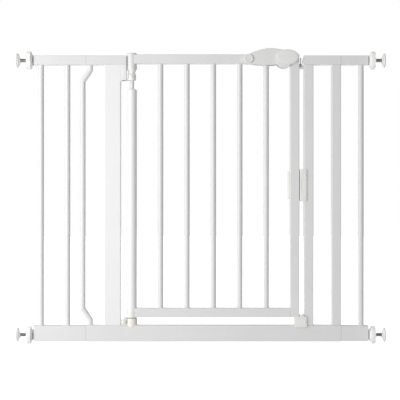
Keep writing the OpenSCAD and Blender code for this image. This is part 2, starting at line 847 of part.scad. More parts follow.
// Sliding block inside the stile with a nose that drops into the keeper
module latch_bolt() {
    block_x0 = cross_x - 3.5;
    block_x1 = x_stile1 - tube_wall - moving;
    block_w = 10;
    color("silver") {
        translate([block_x0, -block_w / 2, bolt_z0]) cube([block_x1 - block_x0, block_w, bolt_h]);
        translate([block_x1 - 1, -nose_w / 2, nose_z0]) cube([nose_x1 - block_x1 + 1, nose_w, nose_h]);
        across(cross_x, cross_z, -lever_y1, lever_y1, cross_pin_r);
    }
}

module lift_rod() {
    color("silver") translate([lift_x, 0, lift_tip_z]) cylinder(h = bolt_z0 - lift_tip_z, r = lift_r);
}

// Coils between the bolt and the top of the stile that push the bolt down
module latch_spring() {
    coils = 5;
    coil_r = 4;
    wire = 0.55;
    z0 = bolt_z0 + bolt_h + wire;
    z1 = door_top_z1 - tube_wall - wire;
    color("silver") for (i = [0:coils - 1])
        translate([lift_x - 3, 0, z0 + i * (z1 - z0) / (coils - 1)])
            rotate_extrude() translate([coil_r, 0]) circle(wire, $fn = 16);
}

// ---- Wall fixings ---------------------------------------------------------------------------

// Places something drawn along +Z on a rod's axis, measured outwards from the rail's end
module at_corner(side, screw_z) {
    translate([side * x_right, 0, screw_z]) rotate([0, side * 90, 0]) children();
}

module hand_wheel(side, screw_z) {
    lobes = 8;
    notch_r = 6;              // round notches between the lobes
    notch_out = 4.5;          // their middles, outside the wheel
    color("white") at_corner(side, screw_z) difference() {
        union() {
            translate([0, 0, wheel_x]) cylinder(h = wheel_cone_w, r1 = wheel_r - 10, r2 = wheel_r - 5);
            translate([0, 0, wheel_x + wheel_cone_w]) cylinder(h = wheel_rim_w, r = wheel_r);
        }
        for (i = [0:lobes - 1]) rotate([0, 0, 360 / lobes * (i + 0.5)])
            translate([wheel_r + notch_out, 0, wheel_x - cut])
                cylinder(h = wheel_cone_w + wheel_rim_w + 2 * cut, r = notch_r);
        cylinder(h = cup_x, r = rod_r + running);
    }
}

module threaded_rod(side, screw_z) {
    color("slategray") at_corner(side, screw_z)
        translate([0, 0, -rod_inside]) cylinder(h = rod_inside + cup_x + cup_socket, r = rod_r);
}

module wall_cup(side, screw_z) {
    pad = 2.5;
    color("white") at_corner(side, screw_z) difference() {
        union() {
            translate([0, 0, cup_x]) cylinder(h = cup_t - pad, r1 = rod_r + 2.5, r2 = cup_d / 2);
            translate([0, 0, cup_x + cup_t - pad]) cylinder(h = pad, r = cup_d / 2);
        }
        cylinder(h = cup_x + cup_socket, r = rod_r);
    }
}

// ---- Nodes ------------------------------------------------------------------------------------

frame_bottom_rail();
frame_top_rail_left();
frame_top_rail_right();
frame_hinge_post();
frame_latch_post();
frame_end_post();
frame_bent_bar();
left_ext_top_rail();
left_ext_bottom_rail();
left_ext_bars();
right_ext_top_rail();
right_ext_bottom_rail();
right_ext_bar();
extension_joiners();
rail_end_plugs();
hinge_upper_bracket();
hinge_fixed_cam();
hinge_lower_bracket();
hinge_lower_socket();
top_keeper();
mid_stop_block();
bottom_catch();
frame_screws();
hinge_spindle();
door_top_knuckle();
door_cam();
door_hinge_tube();
hinge_tube_cap();
hinge_tube_collar();
door_top_rail();
door_bottom_rail();
door_latch_stile();
door_bar(1);  // door_bar_1
door_bar(2);  // door_bar_2
door_bar(3);  // door_bar_3
door_bar(4);  // door_bar_4
door_bar(5);  // door_bar_5
stile_stop_clip();
lever_pin();
lever_pin_covers();
latch_housing_front();
latch_housing_rear();
housing_screws();
latch_spring();
lift_lever();
thumb_slide();
latch_bolt();
lift_rod();
hand_wheel(-1, top_screw_z);  // hand_wheel_top_left
hand_wheel(-1, low_screw_z);  // hand_wheel_bottom_left
hand_wheel(1, top_screw_z);  // hand_wheel_top_right
hand_wheel(1, low_screw_z);  // hand_wheel_bottom_right
threaded_rod(-1, top_screw_z);  // threaded_rod_top_left
threaded_rod(-1, low_screw_z);  // threaded_rod_bottom_left
threaded_rod(1, top_screw_z);  // threaded_rod_top_right
threaded_rod(1, low_screw_z);  // threaded_rod_bottom_right
wall_cup(-1, top_screw_z);  // wall_cup_top_left
wall_cup(-1, low_screw_z);  // wall_cup_bottom_left
wall_cup(1, top_screw_z);  // wall_cup_top_right
wall_cup(1, low_screw_z);  // wall_cup_bottom_right
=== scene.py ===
"""Looks of a pressure-fitted child safety gate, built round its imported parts.

The gate is a white powder-coated tube frame with a door on a rising hinge, moulded plastic
fittings, and a zinc-plated screw with a hand wheel and a soft-faced cup at each corner.
Sizes in the classes are millimetres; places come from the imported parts.
"""

import logging
import math
from contextlib import contextmanager
from dataclasses import dataclass
from enum import Enum
from typing import Callable, Iterator, Sequence

import bmesh
import bpy
from mathutils import Matrix, Vector


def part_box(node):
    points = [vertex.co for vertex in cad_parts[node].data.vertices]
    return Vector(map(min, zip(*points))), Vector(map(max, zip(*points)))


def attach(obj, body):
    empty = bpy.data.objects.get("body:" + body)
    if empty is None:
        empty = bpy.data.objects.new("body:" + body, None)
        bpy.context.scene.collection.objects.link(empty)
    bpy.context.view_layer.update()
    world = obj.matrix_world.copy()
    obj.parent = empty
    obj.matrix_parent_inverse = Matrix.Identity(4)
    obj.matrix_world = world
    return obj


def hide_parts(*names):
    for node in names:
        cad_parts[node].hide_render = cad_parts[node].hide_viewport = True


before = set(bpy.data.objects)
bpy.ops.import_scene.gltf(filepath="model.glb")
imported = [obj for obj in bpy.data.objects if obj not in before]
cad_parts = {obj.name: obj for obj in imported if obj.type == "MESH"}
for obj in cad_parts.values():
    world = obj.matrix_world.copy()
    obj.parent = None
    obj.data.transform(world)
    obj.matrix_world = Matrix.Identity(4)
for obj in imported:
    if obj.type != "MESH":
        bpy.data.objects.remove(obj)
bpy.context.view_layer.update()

MM = 0.001
log = logging.getLogger("safety_gate")

Outline = Sequence[tuple[float, float]]
Corners = Sequence[tuple[float, float, float]]  # each with its radius
Piece = bpy.types.Object
Material = bpy.types.Material
Tree = bpy.types.NodeTree
Output = tuple[bpy.types.Node, str | int]  # a node and one of its outputs

ORIGIN = Vector((0, 0, 0))
TUBE_CORNER = 2.2  # radius of a square tube's corners
TUBE_HALF = 12.5  # half of its width
CATCH_GAP = 2.0  # from the bottom catch up to the door's stile
STRAP_BOSS = (9.0, 10.0)  # from the hinge strap's lower left corner to its boss


class Plane(Enum):
    """The plane that a flat outline is drawn on, named by its two directions."""

    XZ = "front"
    XY = "top"
    YZ = "side"


class Part(Enum):
    """What is picked in edit mode."""

    CORNERS = "VERT"
    EDGES = "EDGE"
    FACES = "FACE"


class Slot(Enum):
    """Names of material slots."""

    COAT = "powder_coat"
    WHITE = "white_plastic"
    WARM = "warm_plastic"
    ZINC = "zinc_steel"
    BRIGHT = "bright_steel"


# ---- Measures ---------------------------------------------------------------------------


def mm(x: float, y: float, z: float) -> Vector:
    """A place given in millimetres, as metres."""
    return Vector((x, y, z)) * MM


def node_box(node: str) -> tuple[Vector, Vector]:
    """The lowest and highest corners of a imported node, in millimetres."""
    low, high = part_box(node)
    return low / MM, high / MM


def rounded(corners: Corners, closed: bool = True, steps: int = 5) -> list[tuple[float, float]]:
    """Rounds the corners of a line.

    Args:
        corners: The corners, each with its radius; a radius of 0 stays sharp.
        closed: Whether the last corner joins the first.
        steps: Edges in each rounded corner.

    Returns:
        The points of the rounded line.
    """
    points: list[tuple[float, float]] = []
    count = len(corners)
    for i, (u, v, radius) in enumerate(corners):
        here = Vector((u, v))
        if radius <= 0 or (not closed and i in (0, count - 1)):
            points.append((u, v))
            continue
        to_last = (Vector(corners[i - 1][:2]) - here).normalized()
        to_next = (Vector(corners[(i + 1) % count][:2]) - here).normalized()
        half = to_last.angle(to_next) / 2
        middle = here + (to_last + to_next).normalized() * (radius / math.sin(half))
        first = here + to_last * (radius / math.tan(half)) - middle
        last = here + to_next * (radius / math.tan(half)) - middle
        sweep = first.angle(last)
        for k in range(steps + 1):
            t = k / steps
            spoke = (first * math.sin((1 - t) * sweep) + last * math.sin(t * sweep)) / math.sin(sweep)
            points.append(tuple(middle + spoke))
    return points


def tube_face(node: str, grow: float, steps: int = 5) -> Outline:
    """The outline of a level tube's end.

    Args:
        node: The tube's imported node.
        grow: How far the outline stands out from the tube.
        steps: Edges in each rounded corner.

    Returns:
        The outline, on the side plane.
    """
    low, high = node_box(node)
    left, right, foot, top = low.y - grow, high.y + grow, low.z - grow, high.z + grow
    square = ((left, foot), (right, foot), (right, top), (left, top))
    return rounded([(y, z, TUBE_CORNER) for y, z in square], steps=steps)


def arc_top(centre: tuple[float, float], radius: float, x: float) -> float:
    """The height of a circle's upper side at x."""
    return centre[1] + math.sqrt(radius**2 - (x - centre[0]) ** 2)


def arc_low(centre: tuple[float, float], radius: float, x: float) -> float:
    """The height of a circle's lower side at x."""
    return centre[1] - math.sqrt(radius**2 - (x - centre[0]) ** 2)


def spread(first: float, last: float, count: int) -> list[float]:
    """Evenly spaced numbers from first to last, both included."""
    return [first + (last - first) * i / (count - 1) for i in range(count)]


# ---- Modelling --------------------------------------------------------------------------


def put_down() -> None:
    """Goes back to object mode with nothing selected."""
    if bpy.context.object and bpy.context.object.mode != "OBJECT":
        bpy.ops.object.mode_set(mode="OBJECT")
    bpy.ops.object.select_all(action="DESELECT")


def take_up(piece: Piece) -> None:
    """Makes a piece the active object and the only one selected.

    Args:
        piece: The piece.
    """
    put_down()
    piece.select_set(True)
    bpy.context.view_layer.objects.active = piece


def pick_all() -> None:
    """Selects the whole piece in edit mode."""
    bpy.ops.mesh.select_all(action="SELECT")


def push_out(move: Vector) -> None:
    """Extrudes the selection by a move in millimetres."""
    bpy.ops.mesh.extrude_region_move(TRANSFORM_OT_translate={"value": move * MM})


@contextmanager
def editing(piece: Piece) -> Iterator[None]:
    """Holds a piece in edit mode, with nothing selected at the start.

    Args:
        piece: The piece.

    Yields:
        Nothing; the piece is in edit mode until the block ends.
    """
    take_up(piece)
    bpy.ops.object.mode_set(mode="EDIT")
    bpy.ops.mesh.select_mode(type="VERT")
    bpy.ops.mesh.select_all(action="DESELECT")
    yield
    bpy.ops.object.mode_set(mode="OBJECT")


def pick(part: Part, test: Callable[[Vector, Vector], bool]) -> None:
    """Selects corners, edges or faces in edit mode.

    Args:
        part: What is picked.
        test: Takes an element's middle in millimetres in the gate's frame, and its direction:
            a face's or a corner's normal, or an edge's own direction.
    """
    piece = bpy.context.object
    bpy.ops.mesh.select_mode(type=part.value)
    bpy.ops.mesh.select_all(action="DESELECT")
    mesh = bmesh.from_edit_mesh(piece.data)
    shift = piece.location
    for face in mesh.faces if part is Part.FACES else ():
        face.select_set(test((face.calc_center_median() + shift) / MM, face.normal))
    for edge in mesh.edges if part is Part.EDGES else ():
        a, b = edge.verts[0].co, edge.verts[1].co
        edge.select_set(test(((a + b) / 2 + shift) / MM, (b - a).normalized()))
    for corner in mesh.verts if part is Part.CORNERS else ():
        corner.select_set(test((corner.co + shift) / MM, corner.normal))
    bmesh.update_edit_mesh(piece.data)


def close_up(piece: Piece) -> None:
    """Merges a piece's doubled corners and turns its faces outwards.

    Args:
        piece: The piece.
    """
    with editing(piece):
        pick_all()
        bpy.ops.mesh.remove_doubles(threshold=2e-6)
        bpy.ops.mesh.normals_make_consistent(inside=False)


def draw_line(name: str, points: Sequence[Vector]) -> Piece:
    """Draws a line of edges by extruding one corner from point to point.

    Args:
        name: The piece's name.
        points: Places in millimetres.

    Returns:
        The new piece.
    """
    put_down()
    bpy.ops.mesh.primitive_plane_add(size=MM, location=points[0] * MM)
    piece = bpy.context.object
    piece.name = name
    with editing(piece):
        pick_all()
        bpy.ops.mesh.merge(type="CENTER")
        for last, following in zip(points, points[1:]):
            push_out(following - last)
    return piece


def turned(
    name: str,
    profile: Outline,
    centre: Vector,
    axis: Vector = Vector((0, 0, 1)),
    closed: bool = False,
    steps: int = 64,
) -> Piece:
    """Turns a profile round an axis, as on a lathe.

    Args:
        name: The piece's name.
        profile: Points, each the distance from the axis and the distance along it.
        centre: The axis's starting point, in millimetres.
        axis: Its direction.
        closed: Whether the last point joins the first, as on a ring.
        steps: Faces round the axis.

    Returns:
        The new piece.
    """
    side = Vector((1, 0, 0)) if abs(axis.x) < 0.5 else Vector((0, 0, 1))
    line = [*profile, profile[0]] if closed else list(profile)
    piece = draw_line(name, [centre + side * r + axis * h for r, h in line])
    with editing(piece):
        pick_all()
        bpy.ops.mesh.remove_doubles(threshold=1e-6)
        pick_all()
        bpy.ops.mesh.spin(steps=steps, angle=math.tau, center=centre * MM, axis=axis)
    close_up(piece)
    return piece


def on_plane(plane: Plane, u: float, v: float, depth: float) -> Vector:
    """Places a point of an outline.

    Args:
        plane: The plane that it is drawn on.
        u: Its first coordinate on the plane.
        v: Its second coordinate on the plane.
        depth: Its place along the plane's normal.

    Returns:
        The place, in the units of the coordinates.
    """
    if plane is Plane.XZ:
        return Vector((u, depth, v))
    if plane is Plane.XY:
        return Vector((u, v, depth))
    return Vector((depth, u, v))


def slab(
    name: str, outline: Outline, plane: Plane, start: float, end: float, rim: float = 0.0
) -> Piece:
    """Fills a closed outline and extrudes it.

    Args:
        name: The piece's name.
        outline: Points on the plane.
        plane: The plane they are drawn on.
        start: Depth of the first face.
        end: Depth of the last face.
        rim: Radius of the rounding round both faces.

    Returns:
        The new piece.
    """
    points = [on_plane(plane, u, v, start) for u, v in outline]
    piece = draw_line(name, points)
    normal = on_plane(plane, 0, 0, 1)
    with editing(piece):
        pick_all()
        bpy.ops.mesh.edge_face_add()
        push_out(normal * (end - start))
    close_up(piece)
    if rim > 0:
        round_rim(piece, normal, (start, end), rim)
    return piece


def round_rim(
    piece: Piece, normal: Vector, depths: Sequence[float], radius: float, segments: int = 3
) -> None:
    """Bevels the edges that lie at the given depths along a direction.

    Args:
        piece: The piece.
        normal: The direction.
        depths: Where the edges lie along it, in millimetres.
        radius: Radius of the rounding.
        segments: Faces across the rounding.
    """

    def on_rim(middle: Vector, direction: Vector) -> bool:
        """Tells whether an edge lies flat at one of the depths.

        Args:
            middle: The edge's middle, in millimetres.
            direction: The edge's direction.

        Returns:
            Whether it does.
        """
        return abs(direction.dot(normal)) < 0.01 and any(
            abs(middle.dot(normal) - d) < 0.01 for d in depths
        )

    with editing(piece):
        pick(Part.EDGES, on_rim)
        bpy.ops.mesh.bevel(offset=radius * MM, segments=segments, affect="EDGES", clamp_overlap=True)


def block(
    name: str, low: Vector, high: Vector, radius: float = 0.8, segments: int = 3
) -> Piece:
    """Makes a box with all its edges rounded.

    Args:
        name: The piece's name.
        low: Its lowest corner, in millimetres.
        high: Its highest corner.
        radius: Radius of the rounding; with 0 the edges stay sharp.
        segments: Faces across the rounding.

    Returns:
        The new piece.
    """
    put_down()
    size = high - low
    bpy.ops.mesh.primitive_cube_add(size=MM, location=(low + high) / 2 * MM)
    piece = bpy.context.object
    piece.name = name
    with editing(piece):
        pick_all()
        bpy.ops.transform.resize(value=size, center_override=(low + high) / 2 * MM)
        if radius > 0:
            bpy.ops.mesh.bevel(offset=radius * MM, segments=segments, affect="EDGES")
    return piece


def soften(piece: Piece, width: float, segments: int = 2, angle: float = 35) -> None:
    """Rounds a piece's sharp edges with a Bevel modifier, and applies it.

    Args:
        piece: The piece.
        width: Width of the rounding, in millimetres.
        segments: Faces across the rounding.
        angle: Edges flatter than this, in degrees, stay as they are.
    """
    take_up(piece)
    bpy.ops.object.modifier_add(type="BEVEL")
    bevel = piece.modifiers[-1]
    bevel.width, bevel.segments = width * MM, segments
    bevel.limit_method, bevel.angle_limit = "ANGLE", math.radians(angle)
    bpy.ops.object.modifier_apply(modifier=bevel.name)


def carve(piece: Piece, cutter: Piece) -> None:
    """Takes a cutter's shape out of a piece, and removes the cutter.

    Args:
        piece: The piece.
        cutter: What is taken out of it.
    """
    take_up(piece)
    bpy.ops.object.modifier_add(type="BOOLEAN")
    cut = piece.modifiers[-1]
    cut.operation, cut.solver, cut.object = "DIFFERENCE", "EXACT", cutter
    bpy.ops.object.modifier_apply(modifier=cut.name)
    bpy.data.objects.remove(cutter)


def slice_off(piece: Piece, point: Vector, normal: Vector) -> None:
    """Cuts away what lies on one side of a plane, and closes the cut.

    Args:
        piece: The piece.
        point: A point on the plane, in millimetres.
        normal: The plane's normal, towards the side that goes.
    """
    with editing(piece):
        pick_all()
        bpy.ops.mesh.bisect(
            plane_co=point * MM, plane_no=normal, use_fill=True, clear_inner=False, clear_outer=True
        )


def settle(piece: Piece) -> None:
    """Moves a piece's place, turn and size into its mesh."""
    take_up(piece)
    bpy.ops.object.transform_apply(location=True, rotation=True, scale=True)


def copied(piece: Piece, name: str, place: Matrix) -> Piece:
    """Copies a settled piece, with a mesh of its own.

    Args:
        piece: The piece.
        name: The copy's name.
        place: Where the copy goes.

    Returns:
        The copy.
    """
    take_up(piece)
    bpy.ops.object.duplicate(linked=False)
    twin = bpy.context.object
    twin.name = name
    twin.matrix_world = place
    settle(twin)
    if place.determinant() < 0:
        close_up(twin)
    return twin


def joined(name: str, pieces: Sequence[Piece]) -> Piece:
    """Joins pieces into the first one.

    Args:
        name: The joined piece's name.
        pieces: The pieces.

    Returns:
        The joined piece.
    """
    for piece in pieces:
        settle(piece)
    put_down()
    for piece in pieces:
        piece.select_set(True)
    bpy.context.view_layer.objects.active = pieces[0]
    if len(pieces) > 1:
        bpy.ops.object.join()
    pieces[0].name = name
    return pieces[0]


def hand_over(
    piece: Piece,
    body: str,
    finish: Material,
    nodes: Sequence[str] = (),
    smooth: float = 32,
) -> Piece:
    """Finishes a piece and gives it to its body.

    Args:
        piece: The piece.
        body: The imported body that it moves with.
        finish: Its material.
        nodes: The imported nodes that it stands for.
        smooth: Edges flatter than this angle are shaded smooth.

    Returns:
        The piece.
    """
    settle(piece)
    piece.data.name = piece.name
    bpy.ops.object.shade_smooth_by_angle(angle=math.radians(smooth))
    piece.data.materials.clear()
    piece.data.materials.append(finish)
    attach(piece, body)
    if nodes:
        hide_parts(*nodes)
    log.info("%s rides on %s with %d faces", piece.name, body, len(piece.data.polygons))
    return piece


# ---- Finishes ---------------------------------------------------------------------------


def srgb(code: str) -> tuple[float, float, float, float]:
    """Turns an sRGB colour into a linear one.

    Args:
        code: The colour as "#RRGGBB".

    Returns:
        Linear red, green and blue, and an alpha of 1.
    """
    parts = [int(code[i : i + 2], 16) / 255 for i in (1, 3, 5)]
    linear = [c / 12.92 if c <= 0.04045 else ((c + 0.055) / 1.055) ** 2.4 for c in parts]
    return (linear[0], linear[1], linear[2], 1.0)


def add_node(
    tree: Tree,
    kind: str,
    settings: dict[str, object] | None = None,
    values: dict[str | int, object] | None = None,
    links: dict[str | int, Output] | None = None,
) -> bpy.types.Node:
    """Adds a node with its settings, values and links.

    Args:
        tree: The node tree.
        kind: The node's type name.
        settings: Properties of the node.
        values: Values of its input sockets.
        links: For an input socket, the node and output socket that feed it.

    Returns:
        The new node.
    """
    made = tree.nodes.new(kind)
    for key, value in (settings or {}).items():
        setattr(made, key, value)
    for key, value in (values or {}).items():
        made.inputs[key].default_value = value
    for key, (source, socket) in (links or {}).items():
        tree.links.new(source.outputs[socket], made.inputs[key])
    return made


def new_material(name: str) -> tuple[Material, Tree]:
    """Makes an empty node material.

    Args:
        name: Its name.

    Returns:
        The material and its node tree.
    """
    material = bpy.data.materials.new(name)
    material.use_nodes = True
    material.node_tree.nodes.clear()
    return material, material.node_tree


def per_metre(size: float) -> float:
    """The scale of a pattern whose features are this many millimetres apart."""
    return 1 / (size * MM)


@dataclass(frozen=True)
class PowderCoat:
    """Polyester powder coat, sprayed on steel tube and baked: an even satin white with the faint
    waves of orange peel, and a very slight change of white from one area to the next."""

    name: str = "powder_coat_white"
    light: str = "#E7E7E6"
    dark: str = "#E0E0DF"
    roughness: float = 0.36
    ior: float = 1.52
    cloud: float = 90.0  # size of the areas with a slightly different white
    peel: float = 2.6  # real orange peel is about 1 mm apart; drawn coarser so that it shows
    peel_height: float = 0.02

    def build(self) -> Material:
        """Makes the material.

        Returns:
            The material.
        """
        material, tree = new_material(self.name)
        place = add_node(tree, "ShaderNodeTexCoord")
        cloud = add_node(
            tree, "ShaderNodeTexNoise",
            values={"Scale": per_metre(self.cloud), "Detail": 2.0},
            links={"Vector": (place, "Object")},
        )
        white = add_node(
            tree, "ShaderNodeMix", {"data_type": "RGBA"},
            values={6: srgb(self.light), 7: srgb(self.dark)},
            links={0: (cloud, "Fac")},
        )
        peel = add_node(
            tree, "ShaderNodeTexNoise",
            values={"Scale": per_metre(self.peel), "Detail": 1.0, "Roughness": 0.4},
            links={"Vector": (place, "Object")},
        )
        gloss = add_node(
            tree, "ShaderNodeMapRange",
            values={"From Min": 0.3, "From Max": 0.7, "To Min": self.roughness - 0.04,
                    "To Max": self.roughness + 0.05},
            links={"Value": (peel, "Fac")},
        )
        bump = add_node(
            tree, "ShaderNodeBump",
            values={"Strength": 0.6, "Distance": self.peel_height * MM},
            links={"Height": (peel, "Fac")},
        )
        shader = add_node(
            tree, "ShaderNodeBsdfPrincipled",
            values={"IOR": self.ior},
            links={"Base Color": (white, 2), "Roughness": (gloss, 0), "Normal": (bump, 0)},
        )
        add_node(tree, "ShaderNodeOutputMaterial", links={"Surface": (shader, 0)})
        return material


@dataclass(frozen=True)
class MouldedPlastic:
    """Injection-moulded plastic from a spark-eroded mould: a dull fine grain, and a faint lighter
    and darker drift where the plastic flowed."""

    name: str
    light: str
    dark: str
    roughness: float = 0.46
    ior: float = 1.47
    flow: float = 26.0  # length of the drift left by the flow
    grain: float = 0.9  # real spark erosion is about 0.1 mm; drawn coarser so that it shows
    grain_height: float = 0.025

    def build(self) -> Material:
        """Makes the material.

        Returns:
            The material.
        """
        material, tree = new_material(self.name)
        place = add_node(tree, "ShaderNodeTexCoord")
        flow = add_node(
            tree, "ShaderNodeTexNoise",
            values={"Scale": per_metre(self.flow), "Detail": 3.0, "Distortion": 0.6},
            links={"Vector": (place, "Object")},
        )
        colour = add_node(
            tree, "ShaderNodeMix", {"data_type": "RGBA"},
            values={6: srgb(self.light), 7: srgb(self.dark)},
            links={0: (flow, "Fac")},
        )
        grain = add_node(
            tree, "ShaderNodeTexNoise",
            values={"Scale": per_metre(self.grain), "Detail": 2.0, "Roughness": 0.6},
            links={"Vector": (place, "Object")},
        )
        gloss = add_node(
            tree, "ShaderNodeMapRange",
            values={"From Min": 0.3, "From Max": 0.7, "To Min": self.roughness - 0.06,
                    "To Max": self.roughness + 0.08},
            links={"Value": (grain, "Fac")},
        )
        bump = add_node(
            tree, "ShaderNodeBump",
            values={"Strength": 0.5, "Distance": self.grain_height * MM},
            links={"Height": (grain, "Fac")},
        )
        shader = add_node(
            tree, "ShaderNodeBsdfPrincipled",
            values={"IOR": self.ior},
            links={"Base Color": (colour, 2), "Roughness": (gloss, 0), "Normal": (bump, 0)},
        )
        add_node(tree, "ShaderNodeOutputMaterial", links={"Surface": (shader, 0)})
        return material


@dataclass(frozen=True)
class PlatedSteel:
    """Zinc-plated steel: a metal with a soft shine, mottled by the plating's crystals and lined
    along its length by drawing or rolling."""

    name: str
    light: str
    dark: str
    roughness: float
    mottle: float = 1.6  # size of the crystal patches
    lines: float = 0.35  # spacing of the drawing lines
    line_depth: float = 0.01
    stretch: tuple[float, float, float] = (0.06, 1.0, 1.0)  # the lines run along the small one

    def build(self) -> Material:
        """Makes the material.

        Returns:
            The material.
        """
        material, tree = new_material(self.name)
        place = add_node(tree, "ShaderNodeTexCoord")
        mottle = add_node(
            tree, "ShaderNodeTexVoronoi",
            values={"Scale": per_metre(self.mottle)},
            links={"Vector": (place, "Object")},
        )
        colour = add_node(
            tree, "ShaderNodeMix", {"data_type": "RGBA"},
            values={6: srgb(self.light), 7: srgb(self.dark)},
            links={0: (mottle, "Distance")},
        )
        along = add_node(
            tree, "ShaderNodeMapping",
            values={"Scale": self.stretch},
            links={"Vector": (place, "Object")},
        )
        lines = add_node(
            tree, "ShaderNodeTexNoise",
            values={"Scale": per_metre(self.lines), "Detail": 2.0},
            links={"Vector": (along, 0)},
        )
        gloss = add_node(
            tree, "ShaderNodeMapRange",
            values={"From Min": 0.3, "From Max": 0.7, "To Min": self.roughness - 0.08,
                    "To Max": self.roughness + 0.1},
            links={"Value": (lines, "Fac")},
        )
        bump = add_node(
            tree, "ShaderNodeBump",
            values={"Strength": 0.25, "Distance": self.line_depth * MM},
            links={"Height": (lines, "Fac")},
        )
        shader = add_node(
            tree, "ShaderNodeBsdfPrincipled",
            values={"Metallic": 1.0},
            links={"Base Color": (colour, 2), "Roughness": (gloss, 0), "Normal": (bump, 0)},
        )
        add_node(tree, "ShaderNodeOutputMaterial", links={"Surface": (shader, 0)})
        return material


@dataclass(frozen=True)
class SoftPad:
    """Thermoplastic rubber, moulded: dull, slightly grey, with a fine tooth that grips the wall."""

    name: str = "soft_pad_grey"
    colour: str = "#D6D2CC"
    shade: str = "#C4C0BA"
    roughness: float = 0.78
    tooth: float = 1.1  # real tooth is about 0.3 mm; drawn coarser so that it shows
    tooth_height: float = 0.08
    ior: float = 1.45

    def build(self) -> Material:
        """Makes the material.

        Returns:
            The material.
        """
        material, tree = new_material(self.name)
        place = add_node(tree, "ShaderNodeTexCoord")
        tooth = add_node(
            tree, "ShaderNodeTexVoronoi",
            values={"Scale": per_metre(self.tooth)},
            links={"Vector": (place, "Object")},
        )
        colour = add_node(
            tree, "ShaderNodeMix", {"data_type": "RGBA"},
            values={6: srgb(self.colour), 7: srgb(self.shade)},
            links={0: (tooth, "Distance")},
        )
        bump = add_node(
            tree, "ShaderNodeBump",
            values={"Strength": 0.5, "Distance": self.tooth_height * MM},
            links={"Height": (tooth, "Distance")},
        )
        shader = add_node(
            tree, "ShaderNodeBsdfPrincipled",
            values={"Roughness": self.roughness, "IOR": self.ior},
            links={"Base Color": (colour, 2), "Normal": (bump, 0)},
        )
        add_node(tree, "ShaderNodeOutputMaterial", links={"Surface": (shader, 0)})
        return material


def plastic(name: str, light: str, dark: str, roughness: float = 0.46) -> Material:
    """Makes a moulded plastic."""
    return MouldedPlastic(name, light, dark, roughness).build()


class Finishes:
    """All the finishes of the gate, made once."""

    def __init__(self) -> None:
        """Makes the materials."""
        self.coat = PowderCoat().build()
        # The same white coat made lighter for the pieces on the hinge side: painted light, where the light
        # from the left falls more strongly.
        self.coat_painted_light = PowderCoat("powder_coat_painted_light", "#F5F5F5", "#EEEEEE").build()
        self.white = plastic("abs_white", "#F3F2EE", "#E9E8E3")
        self.wheel = plastic("polypropylene_white", "#FFFFFE", "#FAF9F7", 0.36)
        self.handle = plastic("abs_handle_grey_white", "#EAEAE7", "#E0E1DE", 0.4)
        self.badge = plastic("abs_badge_white", "#EFEFEC", "#E6E6E2", 0.36)
        self.warm = plastic("acetal_warm_white", "#F8F5EC", "#EDE9DE")
        # Dark grey for the thin bands at the extension joints: painted shade for the shadow in the open
        # joint.
        self.gap = plastic("joint_shadow_grey", "#77797B", "#6A6C6E", 0.7)
        # Dark grey for the washers at the rails' ends: a real washer, whose dark colour is painted shade for
        # the shadowed gap before the wheel.
        self.rubber = plastic("washer_painted_shade_grey", "#4A4847", "#3E3C3B", 0.6)
        self.zinc = PlatedSteel("zinc_plated_steel", "#8F9693", "#6C7370", 0.38).build()
        self.bright = PlatedSteel(
            "bright_drawn_steel", "#D5D7D9", "#BFC2C5", 0.28, stretch=(1.0, 1.0, 0.06)
        ).build()
        self.pad = SoftPad().build()


# ---- Sub-assemblies ---------------------------------------------------------------------


@dataclass
class Assembly:
    """A group of pieces that are built together."""

    finishes: Finishes

    def build(self) -> None:
        """Models the pieces."""
        raise NotImplementedError


